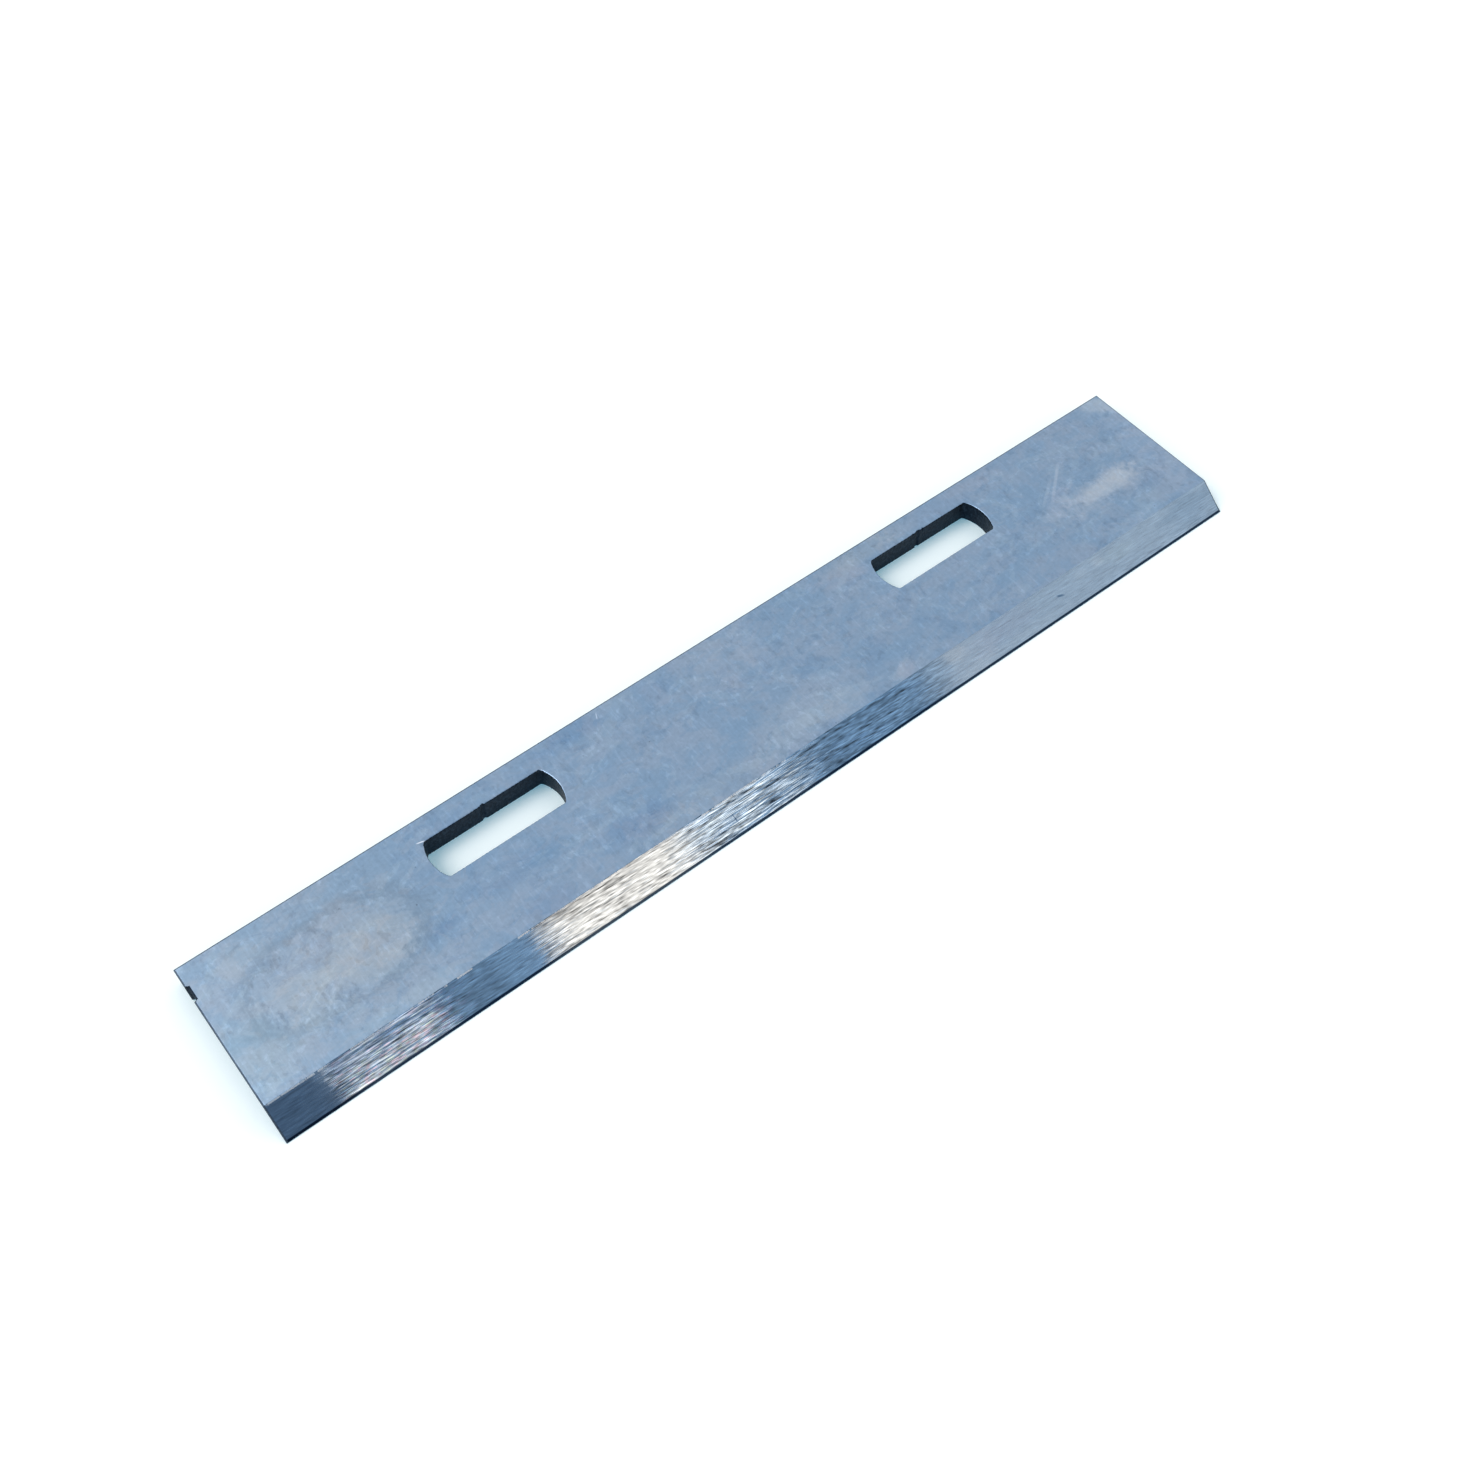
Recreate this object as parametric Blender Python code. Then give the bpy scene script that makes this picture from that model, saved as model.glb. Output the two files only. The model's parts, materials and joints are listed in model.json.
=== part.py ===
"""Planer knife: one ground steel plate with a bevelled cutting edge and two screw slots.

Lengths are in metres and +Z is up. The knife lies flat on its underside with the bevel facing up.
X runs along the cutting edge, +Y points to the back edge, and the origin is the middle of the
underside. The section is drawn once and carried along the knife, and then the slots, the small
breaks of their rims and of the ends, and the notch in the left end are cut out of it.
"""

import math

import bmesh
import bpy
from mathutils import Euler, Matrix

# Plate
KNIFE_LENGTH = 0.136
KNIFE_WIDTH = 0.023
KNIFE_THICKNESS = 0.003
BACK_ARRIS_BREAK = 0.00015
END_ARRIS_BREAK = 0.00012

# Cutting edge: the angle is the one between the bevel and the underside
BEVEL_ANGLE = math.radians(39.6)
EDGE_LAND = 0.0001

# Slots for the clamping screws, with shallow round ends
SLOT_LENGTH = 0.01686
SLOT_WIDTH = 0.0055
SLOT_END_RADIUS = 0.0055
SLOT_CORNER_RADIUS = 0.00035
SLOT_RIM_BREAK = 0.00015
SLOT_BACK_LAND = 0.00317
LEFT_SLOT_FROM_END = 0.0369
RIGHT_SLOT_FROM_END = 0.0342

# Nick that the slot's cut left where it began, in the middle of the back wall
START_MARK_WIDTH = 0.0006
START_MARK_DEPTH = 0.00025

# Notch in the left end
END_NOTCH_LENGTH = 0.002
END_NOTCH_DEPTH = 0.0003
END_NOTCH_FROM_BACK = 0.00275

# How far each cutter runs past the steel that it cuts
OVERRUN = 0.001

# Smoothness of the round stretches
END_ARC_STEPS = 10
CORNER_STEPS = 4
SHARP_ANGLE = math.radians(30)
WELD_DISTANCE = 0.000001

KNIFE_NAME = "planer_knife"
CUTTER_GROUP_NAME = "planer_knife_cutters"


def clear_scene():
    """Remove every object that the file opens with."""
    for scene_object in list(bpy.data.objects):
        bpy.data.objects.remove(scene_object, do_unlink=True)


def new_collection(name):
    """Add an empty collection to the scene."""
    collection = bpy.data.collections.new(name)
    bpy.context.scene.collection.children.link(collection)
    return collection


def ground_steel():
    """Bare surface-ground tool steel, cool and evenly grey."""
    material = bpy.data.materials.new("ground_steel")
    material.use_nodes = True
    shader = material.node_tree.nodes["Principled BSDF"]
    shader.inputs["Base Color"].default_value = (0.47, 0.53, 0.58, 1.0)
    shader.inputs["Metallic"].default_value = 1.0
    shader.inputs["Roughness"].default_value = 0.38
    return material


def extruded_outline(name, points, half_thickness, collection, placement):
    """Solid of a flat closed outline, extruded both ways from its own XY plane."""
    curve = bpy.data.curves.new(name + "_outline", "CURVE")
    curve.dimensions = "2D"
    curve.fill_mode = "BOTH"
    curve.extrude = half_thickness
    spline = curve.splines.new("POLY")
    spline.points.add(len(points) - 1)
    for spline_point, (x, y) in zip(spline.points, points):
        spline_point.co = (x, y, 0.0, 1.0)
    spline.use_cyclic_u = True
    drawn = bpy.data.objects.new(name + "_outline", curve)
    drawn.matrix_world = placement
    collection.objects.link(drawn)

    bpy.context.view_layer.update()
    evaluated = drawn.evaluated_get(bpy.context.evaluated_depsgraph_get())
    mesh = welded(bpy.data.meshes.new_from_object(evaluated))
    solid = new_solid(name, mesh, collection, drawn.matrix_world)
    bpy.data.objects.remove(drawn, do_unlink=True)
    bpy.data.curves.remove(curve)
    return solid


def lofted_outlines(name, sections, collection, placement):
    """Solid through like outlines at rising heights, given as (height, points) pairs."""
    shape = bmesh.new()
    rings = []
    for height, points in sections:
        rings.append([shape.verts.new((x, y, height)) for x, y in points])
    shape.faces.new(reversed(rings[0]))
    shape.faces.new(rings[-1])
    for lower, upper in zip(rings, rings[1:]):
        for index, corner in enumerate(lower):
            shape.faces.new((lower[index - 1], corner, upper[index], upper[index - 1]))
    mesh = bpy.data.meshes.new(name)
    shape.to_mesh(mesh)
    shape.free()
    return new_solid(name, mesh, collection, placement)


def new_solid(name, mesh, collection, placement):
    """Object for a finished mesh, at its place and in its collection."""
    mesh.name = name
    solid = bpy.data.objects.new(name, mesh)
    solid.matrix_world = placement
    collection.objects.link(solid)
    return solid


def welded(mesh):
    """Join points that lie together, such as a curve's caps and walls, and turn all faces out."""
    shape = bmesh.new()
    shape.from_mesh(mesh)
    bmesh.ops.remove_doubles(shape, verts=shape.verts, dist=WELD_DISTANCE)
    bmesh.ops.recalc_face_normals(shape, faces=shape.faces)
    shape.to_mesh(mesh)
    shape.free()
    return mesh


def box_cutter(name, size, placement, collection):
    """Cube primitive, scaled in its mesh to the size wanted."""
    shape = bmesh.new()
    bmesh.ops.create_cube(shape, size=1.0, matrix=Matrix.Diagonal((*size, 1.0)))
    mesh = bpy.data.meshes.new(name)
    shape.to_mesh(mesh)
    shape.free()
    return new_solid(name, mesh, collection, placement)


def knife_section():
    """Outline across the knife, as (y, z) points from the cutting edge round the back."""
    front = -KNIFE_WIDTH / 2
    back = KNIFE_WIDTH / 2
    bevel_run = (KNIFE_THICKNESS - EDGE_LAND) / math.tan(BEVEL_ANGLE)
    return [
        (front, 0.0),
        (back - BACK_ARRIS_BREAK, 0.0),
        (back, BACK_ARRIS_BREAK),
        (back, KNIFE_THICKNESS - BACK_ARRIS_BREAK),
        (back - BACK_ARRIS_BREAK, KNIFE_THICKNESS),
        (front + bevel_run, KNIFE_THICKNESS),
        (front, EDGE_LAND),
    ]


def arc(centre_x, centre_y, radius, first_angle, last_angle, steps):
    """Points along an arc, both ends included."""
    points = []
    for step in range(steps + 1):
        angle = first_angle + (last_angle - first_angle) * step / steps
        points.append((centre_x + radius * math.cos(angle), centre_y + radius * math.sin(angle)))
    return points


def slot_outline(growth=0.0):
    """Outline of a slot about its own centre, grown outwards all round by the growth.

    The quarter in +X and +Y is a shallow end arc, centred on the slot's long axis, and the
    corner arc that blends it into the straight wall. The rest mirrors it.
    """
    half_length = SLOT_LENGTH / 2 + growth
    half_width = SLOT_WIDTH / 2 + growth
    end_radius = max(SLOT_END_RADIUS, SLOT_WIDTH / 2) + growth
    end_centre = half_length - end_radius
    corner_radius = min(SLOT_CORNER_RADIUS, SLOT_WIDTH / 4) + growth
    corner_y = half_width - corner_radius
    corner_reach = math.sqrt((end_radius - corner_radius) ** 2 - corner_y ** 2)
    corner_x = end_centre + corner_reach
    blend_angle = math.atan2(corner_y, corner_reach)

    quarter = arc(end_centre, 0.0, end_radius, 0.0, blend_angle, END_ARC_STEPS)
    quarter += arc(corner_x, corner_y, corner_radius, blend_angle, math.pi / 2, CORNER_STEPS)[1:]
    left_back = [(-x, y) for x, y in reversed(quarter[1:])]
    left_front = [(-x, -y) for x, y in quarter]
    right_front = [(x, -y) for x, y in reversed(quarter[1:])]
    return quarter + left_back + left_front + right_front


def start_mark_outline():
    """Outline of the start mark about the slot's centre, run into the slot by the overrun."""
    wall_y = SLOT_WIDTH / 2
    return [
        (START_MARK_WIDTH / 2, wall_y - OVERRUN),
        (START_MARK_WIDTH / 2, wall_y),
        (START_MARK_WIDTH / 4, wall_y + START_MARK_DEPTH),
        (-START_MARK_WIDTH / 4, wall_y + START_MARK_DEPTH),
        (-START_MARK_WIDTH / 2, wall_y),
        (-START_MARK_WIDTH / 2, wall_y - OVERRUN),
    ]


def slot_cutters(collection):
    """Cutters for the two slots, each with the start mark in the middle of its back wall.

    A slot's cutter has straight walls between its two rim breaks. Beyond them it grows at 45
    degrees, out past the surface, which breaks the slot's rims.
    """
    slot_y = KNIFE_WIDTH / 2 - SLOT_BACK_LAND - SLOT_WIDTH / 2
    slot_centres = {
        "left_slot": -KNIFE_LENGTH / 2 + LEFT_SLOT_FROM_END,
        "right_slot": KNIFE_LENGTH / 2 - RIGHT_SLOT_FROM_END,
    }
    flared = slot_outline(SLOT_RIM_BREAK + OVERRUN)
    straight = slot_outline()
    sections = [
        (-OVERRUN, flared),
        (SLOT_RIM_BREAK, straight),
        (KNIFE_THICKNESS - SLOT_RIM_BREAK, straight),
        (KNIFE_THICKNESS + OVERRUN, flared),
    ]
    cutters = []
    for name, slot_x in slot_centres.items():
        at_slot = Matrix.Translation((slot_x, slot_y, 0.0))
        at_middle = Matrix.Translation((slot_x, slot_y, KNIFE_THICKNESS / 2))
        cutters.append(lofted_outlines(name, sections, collection, at_slot))
        cutters.append(extruded_outline(
            name + "_start_mark", start_mark_outline(), KNIFE_THICKNESS / 2 + OVERRUN,
            collection, at_middle))
    return cutters


def end_cutters(collection):
    """Square bars set on edge that break the ends' top and bottom arrises."""
    bar = END_ARRIS_BREAK * math.sqrt(2)
    size = (bar, KNIFE_WIDTH + 2 * OVERRUN, bar)
    on_edge = Euler((0.0, math.pi / 4, 0.0)).to_matrix().to_4x4()
    cutters = []
    for end_name, end_x in (("left_end", -KNIFE_LENGTH / 2), ("right_end", KNIFE_LENGTH / 2)):
        for side, z in (("top", KNIFE_THICKNESS), ("bottom", 0.0)):
            place = Matrix.Translation((end_x, 0.0, z)) @ on_edge
            cutters.append(box_cutter(end_name + "_arris_" + side, size, place, collection))
    return cutters


def notch_cutter(collection):
    """Box that cuts the shallow notch in the left end, through the whole thickness."""
    size = (END_NOTCH_DEPTH + OVERRUN, END_NOTCH_LENGTH, KNIFE_THICKNESS + 2 * OVERRUN)
    notch_x = -KNIFE_LENGTH / 2 + (END_NOTCH_DEPTH - OVERRUN) / 2
    notch_y = KNIFE_WIDTH / 2 - END_NOTCH_FROM_BACK - END_NOTCH_LENGTH / 2
    place = Matrix.Translation((notch_x, notch_y, KNIFE_THICKNESS / 2))
    return box_cutter("left_end_notch", size, place, collection)


def cut(blank, cutters):
    """Cut the cutters out of the blank one by one, and keep the result as its mesh."""
    for cutter in cutters:
        cutter.hide_render = True
        cutter.display_type = "WIRE"
        difference = blank.modifiers.new(cutter.name, "BOOLEAN")
        difference.operation = "DIFFERENCE"
        difference.solver = "EXACT"
        difference.object = cutter
    bpy.context.view_layer.update()
    evaluated = blank.evaluated_get(bpy.context.evaluated_depsgraph_get())
    finished = welded(bpy.data.meshes.new_from_object(evaluated))
    blank.modifiers.clear()
    uncut = blank.data
    blank.data = finished
    bpy.data.meshes.remove(uncut)
    finished.name = blank.name


def build_knife():
    """Draw the blank, cut it and give it its steel."""
    knife_group = new_collection("planer_knife_parts")
    cutter_group = new_collection(CUTTER_GROUP_NAME)
    along_knife = Euler((math.pi / 2, 0.0, math.pi / 2)).to_matrix().to_4x4()
    knife = extruded_outline(
        KNIFE_NAME, knife_section(), KNIFE_LENGTH / 2, knife_group, along_knife)
    cut(knife, slot_cutters(cutter_group) + end_cutters(cutter_group) + [notch_cutter(cutter_group)])
    knife.data.shade_smooth()
    knife.data.set_sharp_from_angle(angle=SHARP_ANGLE)
    knife.data.materials.clear()
    knife.data.materials.append(ground_steel())
    return knife


clear_scene()
build_knife()
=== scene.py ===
"""Planer knife of ground steel on a pale studio floor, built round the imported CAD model.

The knife lies flat, with its cutting edge along X and its bevel facing up. Lengths are in metres.
The numbers of the finishes, which are patterns on the steel, are in millimetres.
"""
import json
import logging
import math
from dataclasses import dataclass, field
from enum import Enum
from typing import Any, Callable, Mapping, Optional, Sequence, Union

import bpy
import numpy as np
from mathutils import Matrix, Vector


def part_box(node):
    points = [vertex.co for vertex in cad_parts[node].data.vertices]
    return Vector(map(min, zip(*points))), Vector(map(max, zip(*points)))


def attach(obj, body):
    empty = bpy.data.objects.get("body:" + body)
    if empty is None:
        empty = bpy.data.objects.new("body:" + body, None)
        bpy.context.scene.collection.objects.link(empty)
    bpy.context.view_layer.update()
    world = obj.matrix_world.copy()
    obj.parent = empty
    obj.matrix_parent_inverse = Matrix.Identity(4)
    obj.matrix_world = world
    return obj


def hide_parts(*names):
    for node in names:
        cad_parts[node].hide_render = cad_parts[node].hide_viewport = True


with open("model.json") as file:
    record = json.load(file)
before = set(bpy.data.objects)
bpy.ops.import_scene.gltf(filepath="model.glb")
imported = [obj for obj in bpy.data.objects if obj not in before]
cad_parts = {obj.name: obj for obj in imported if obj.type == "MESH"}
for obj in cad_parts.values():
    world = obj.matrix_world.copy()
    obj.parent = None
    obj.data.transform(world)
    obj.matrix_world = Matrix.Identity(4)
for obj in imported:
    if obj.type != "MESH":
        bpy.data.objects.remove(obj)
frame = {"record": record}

KNIFE_NODE = "planer_knife"
MM = 0.001
WELDS_PER_METRE = 1e8
SAME_PLACE = 1e-7
SHARP_ANGLE = math.radians(38.0)
QUARTER_TURN = np.linspace(0.0, math.pi / 2, 5)

log = logging.getLogger("planer_knife")
Colour = tuple[float, float, float]
Point = tuple[float, float, float]
Span = tuple[float, float]


# Shader maths

def operator(operation: str, swapped: bool = False) -> Callable[["Wire", Any], "Wire"]:
    """Arithmetic method of a wire, with a Math node, or a Vector Math node for colours and vectors.

    Args:
        operation: Name of the node's operation.
        swapped: True where the wire is the right term.

    Returns:
        The method.
    """
    def method(self: "Wire", other: Any) -> "Wire":
        """Result of the operation on self and other."""
        terms = (other, self) if swapped else (self, other)
        wide = any(isinstance(term, tuple) or getattr(term, "is_vector", False) for term in terms)
        return self.sheet.vector(operation, *terms) if wide else self.sheet.number(operation, *terms)
    return method


class Wire:
    """A socket of a node sheet, on which Python arithmetic adds nodes.

    Args:
        sheet: The node sheet that the socket is on.
        socket: The output socket.
        is_vector: True for a colour or a vector, False for a number.
    """

    def __init__(self, sheet: "NodeSheet", socket: bpy.types.NodeSocket, is_vector: bool = False) -> None:
        """Keep the sheet, the socket and what kind of value it carries."""
        self.sheet = sheet
        self.socket = socket
        self.is_vector = is_vector

    __add__, __radd__ = operator("ADD"), operator("ADD", swapped=True)
    __sub__, __rsub__ = operator("SUBTRACT"), operator("SUBTRACT", swapped=True)
    __mul__, __rmul__ = operator("MULTIPLY"), operator("MULTIPLY", swapped=True)
    __truediv__, __rtruediv__ = operator("DIVIDE"), operator("DIVIDE", swapped=True)
    least, most = operator("MINIMUM"), operator("MAXIMUM")

    def __pow__(self, power: float) -> "Wire":
        """Self to a power."""
        return self.sheet.number("POWER", self, power)

    def __abs__(self) -> "Wire":
        """Self without its sign."""
        return self.sheet.number("ABSOLUTE", self)

    def rise(self, low: float, high: float) -> "Wire":
        """Smooth step that is 0 at low and 1 at high, or falls where low is above high.

        Args:
            low: Value at which the step is 0.
            high: Value at which the step is 1.

        Returns:
            The step, from 0 to 1.
        """
        if low > high:
            return 1.0 - self.rise(high, low)
        node = self.sheet.node(
            "ShaderNodeMapRange", {"interpolation_type": "SMOOTHSTEP"},
            {"Value": self, "From Min": low, "From Max": high})
        return Wire(self.sheet, node.outputs["Result"])

    def band(self, start: float, stop: float, blur: float) -> "Wire":
        """Mask that is 1 between start and stop, with soft borders as wide as the blur."""
        half = blur / 2
        return self.rise(start - half, start + half) * self.rise(stop + half, stop - half)


class NodeSheet:
    """Node tree of one material or world, with the few calls that fill it.

    Args:
        owner: The material or world.
    """

    def __init__(self, owner: Union[bpy.types.Material, bpy.types.World]) -> None:
        """Empty the owner's node tree and keep it."""
        owner.use_nodes = True
        self.tree = owner.node_tree
        self.tree.nodes.clear()

    def node(self, kind: str, settings: Optional[Mapping[str, Any]] = None,
             sockets: Optional[Mapping[Union[int, str], Any]] = None) -> bpy.types.Node:
        """Add one node.

        Args:
            kind: Blender's name of the node type.
            settings: The node's own settings, which are set before its sockets.
            sockets: Values or links, by the socket's name or place.

        Returns:
            The node.
        """
        node = self.tree.nodes.new(kind)
        for name, setting in (settings or {}).items():
            setattr(node, name, setting)
        for name, term in (sockets or {}).items():
            self.plug(node.inputs[name], term)
        return node

    def plug(self, socket: bpy.types.NodeSocket, term: Any) -> None:
        """Link a wire or socket to an input, or set the input to a number or colour.

        Args:
            socket: The input socket.
            term: A wire, an output socket, a number, or a tuple of three numbers.
        """
        if isinstance(term, Wire):
            self.tree.links.new(term.socket, socket)
        elif isinstance(term, bpy.types.NodeSocket):
            self.tree.links.new(term, socket)
        elif socket.type == "RGBA":
            socket.default_value = (*term, 1.0)
        elif socket.type == "VECTOR" and not isinstance(term, tuple):
            socket.default_value = (term, term, term)
        else:
            socket.default_value = term

    def number(self, operation: str, *terms: Any) -> Wire:
        """Result of a Math node on numbers."""
        node = self.node("ShaderNodeMath", {"operation": operation}, dict(enumerate(terms)))
        return Wire(self, node.outputs[0])

    def vector(self, operation: str, *terms: Any) -> Wire:
        """Result of a Vector Math node on colours or vectors, where a number stands for all three parts."""
        node = self.node("ShaderNodeVectorMath", {"operation": operation}, dict(enumerate(terms)))
        return Wire(self, node.outputs[0], is_vector=True)

    def blend(self, first: Any, second: Any, share: Any) -> Wire:
        """Colour that lies the given share of the way from the first colour to the second."""
        node = self.node("ShaderNodeMix", {"data_type": "RGBA"}, {0: share, 6: first, 7: second})
        return Wire(self, node.outputs[2], is_vector=True)

    def place(self) -> Wire:
        """Place on the piece, in millimetres, from its Object coordinates."""
        node = self.node("ShaderNodeTexCoord")
        return Wire(self, node.outputs["Object"], is_vector=True) * (1 / MM, 1 / MM, 1 / MM)

    def parts(self, vector: Wire) -> tuple[Wire, Wire, Wire]:
        """The three numbers of a vector."""
        node = self.node("ShaderNodeSeparateXYZ", sockets={"Vector": vector})
        return tuple(Wire(self, node.outputs[axis]) for axis in "XYZ")

    def joined(self, x: Any, y: Any, z: Any) -> Wire:
        """Vector made of three numbers."""
        node = self.node("ShaderNodeCombineXYZ", sockets={"X": x, "Y": y, "Z": z})
        return Wire(self, node.outputs[0], is_vector=True)

    def noise(self, place: Wire, grain: Point, detail: float, roughness: float, bend: float,
              shift: float) -> Wire:
        """Soft noise from 0 to 1, about 0.5 in the mean.

        Args:
            place: Where to read it, in millimetres.
            grain: Size of its grain along each axis, in millimetres.
            detail: Octaves of finer noise.
            roughness: Weight of the finer octaves.
            bend: Distortion of the noise by itself.
            shift: Moves the noise, so that two of one grain differ.

        Returns:
            The wire that carries the noise.
        """
        scaled = place * tuple(1 / size for size in grain) + (shift, shift * 0.7, shift * 1.3)
        node = self.node("ShaderNodeTexNoise", sockets={
            "Vector": scaled, "Scale": 1.0, "Detail": detail, "Roughness": roughness, "Distortion": bend})
        return Wire(self, node.outputs[0])

    def rows(self, place: Wire, width: float, shift: float = 0.0) -> Wire:
        """Place whose second part jumps from row to row, so that noise on it makes straight streaks.

        Args:
            place: Where to read it, in millimetres.
            width: Width of a row across the streaks.
            shift: Moves the rows, in widths.

        Returns:
            The wire that carries the place along the row and the row's own number.
        """
        apart = 7.3
        along, across, _ = self.parts(place)
        return self.joined(along, self.number("FLOOR", across / width + shift) * apart, 0.0)

    def specks(self, place: Wire, spacing: float, radius: float, share: float, shift: float) -> Wire:
        """Mask of small round specks that lie scattered.

        Args:
            place: Where to read it, in millimetres.
            spacing: Size of the cells that may hold a speck each.
            radius: Radius of a speck, in the same millimetres.
            share: Share of the cells that hold one.
            shift: Moves the specks.

        Returns:
            The wire that is 1 on a speck and 0 elsewhere.
        """
        scaled = place * (1 / spacing, 1 / spacing, 0.2 / spacing) + (shift, shift, shift)
        node = self.node("ShaderNodeTexVoronoi", sockets={"Vector": scaled, "Scale": 1.0})
        chance, _, _ = self.parts(Wire(self, node.outputs["Color"], is_vector=True))
        near = Wire(self, node.outputs["Distance"]).rise(radius / spacing, 0.5 * radius / spacing)
        return near * chance.rise(share, 0.9 * share)

    def bump(self, height: Wire, depth: float) -> Wire:
        """Normal tilted by a height pattern, where 1 stands a depth in metres above 0."""
        node = self.node("ShaderNodeBump", sockets={"Height": height, "Distance": depth, "Strength": 1.0})
        return Wire(self, node.outputs[0], is_vector=True)


# Finishes

@dataclass(frozen=True)
class FilmPatch:
    """A stain-like patch of thin film on a ground face, in millimetres.

    Attributes:
        centre: Its middle along and across the knife.
        half: Half its length and half its width.
        tint: What it adds to the steel's colour.
        slant: How far it leans, as rise over run.
        rim: How much its border darkens the steel, from 0 to 1.
        ragged: How far its border wanders.
    """

    centre: Span
    half: Span
    tint: Colour
    slant: float = 0.0
    rim: float = 0.0
    ragged: float = 0.35

    def reach(self, x: Wire, y: Wire, wander: Wire) -> Wire:
        """Distance from the middle, with the root of the sum of both axes' parts to the power 2.6.

        Args:
            x: Place along the knife.
            y: Place across the knife.
            wander: Noise about 0 that moves the border.

        Returns:
            The wire that is 0 in the middle and 1 on the border.
        """
        squareness = 2.6
        along = abs(x - self.centre[0]) / self.half[0]
        across = abs(y - self.centre[1] - (x - self.centre[0]) * self.slant) / self.half[1]
        return (along ** squareness + across ** squareness) ** (1 / squareness) + wander * self.ragged


@dataclass(frozen=True)
class Scratch:
    """A fine scratch, in millimetres.

    Attributes:
        start: One end, along and across the knife.
        stop: The other end.
        width: Its width.
        tint: What it adds to the steel's colour.
    """

    start: Span
    stop: Span
    width: float
    tint: Colour

    def mask(self, x: Wire, y: Wire) -> Wire:
        """Places within half the width of the line from start to stop, fading out towards its ends.

        Args:
            x: Place along the knife.
            y: Place across the knife.

        Returns:
            The wire that is 1 on the scratch and 0 elsewhere.
        """
        run_x, run_y = self.stop[0] - self.start[0], self.stop[1] - self.start[1]
        length = math.hypot(run_x, run_y)
        away_x, away_y = x - self.start[0], y - self.start[1]
        along = (away_x * run_x + away_y * run_y) / length ** 2
        across = abs(away_x * run_y - away_y * run_x) / length
        ends = along.rise(0.0, 0.3) * along.rise(1.0, 0.6)
        return across.rise(self.width * 0.7, self.width * 0.2) * ends


@dataclass(frozen=True)
class Finish:
    """Finish of one kind of bare metal surface, painted by the place on the piece.

    Attributes:
        name: Name of its material.
        roughness: Roughness of its metal.
    """

    name: str
    roughness: float

    def paint(self, sheet: NodeSheet, place: Wire) -> dict[str, Any]:
        """Colour, roughness and normal, by the shader's socket. Each finish has its own."""
        raise NotImplementedError

    def material(self) -> bpy.types.Material:
        """Build the node material.

        Returns:
            The material.
        """
        material = bpy.data.materials.new(self.name)
        sheet = NodeSheet(material)
        shader = sheet.node("ShaderNodeBsdfPrincipled", sockets=self.paint(sheet, sheet.place()))
        shader.inputs["Metallic"].default_value = 1.0
        sheet.node("ShaderNodeOutputMaterial", sockets={"Surface": shader.outputs[0]})
        return material


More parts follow.
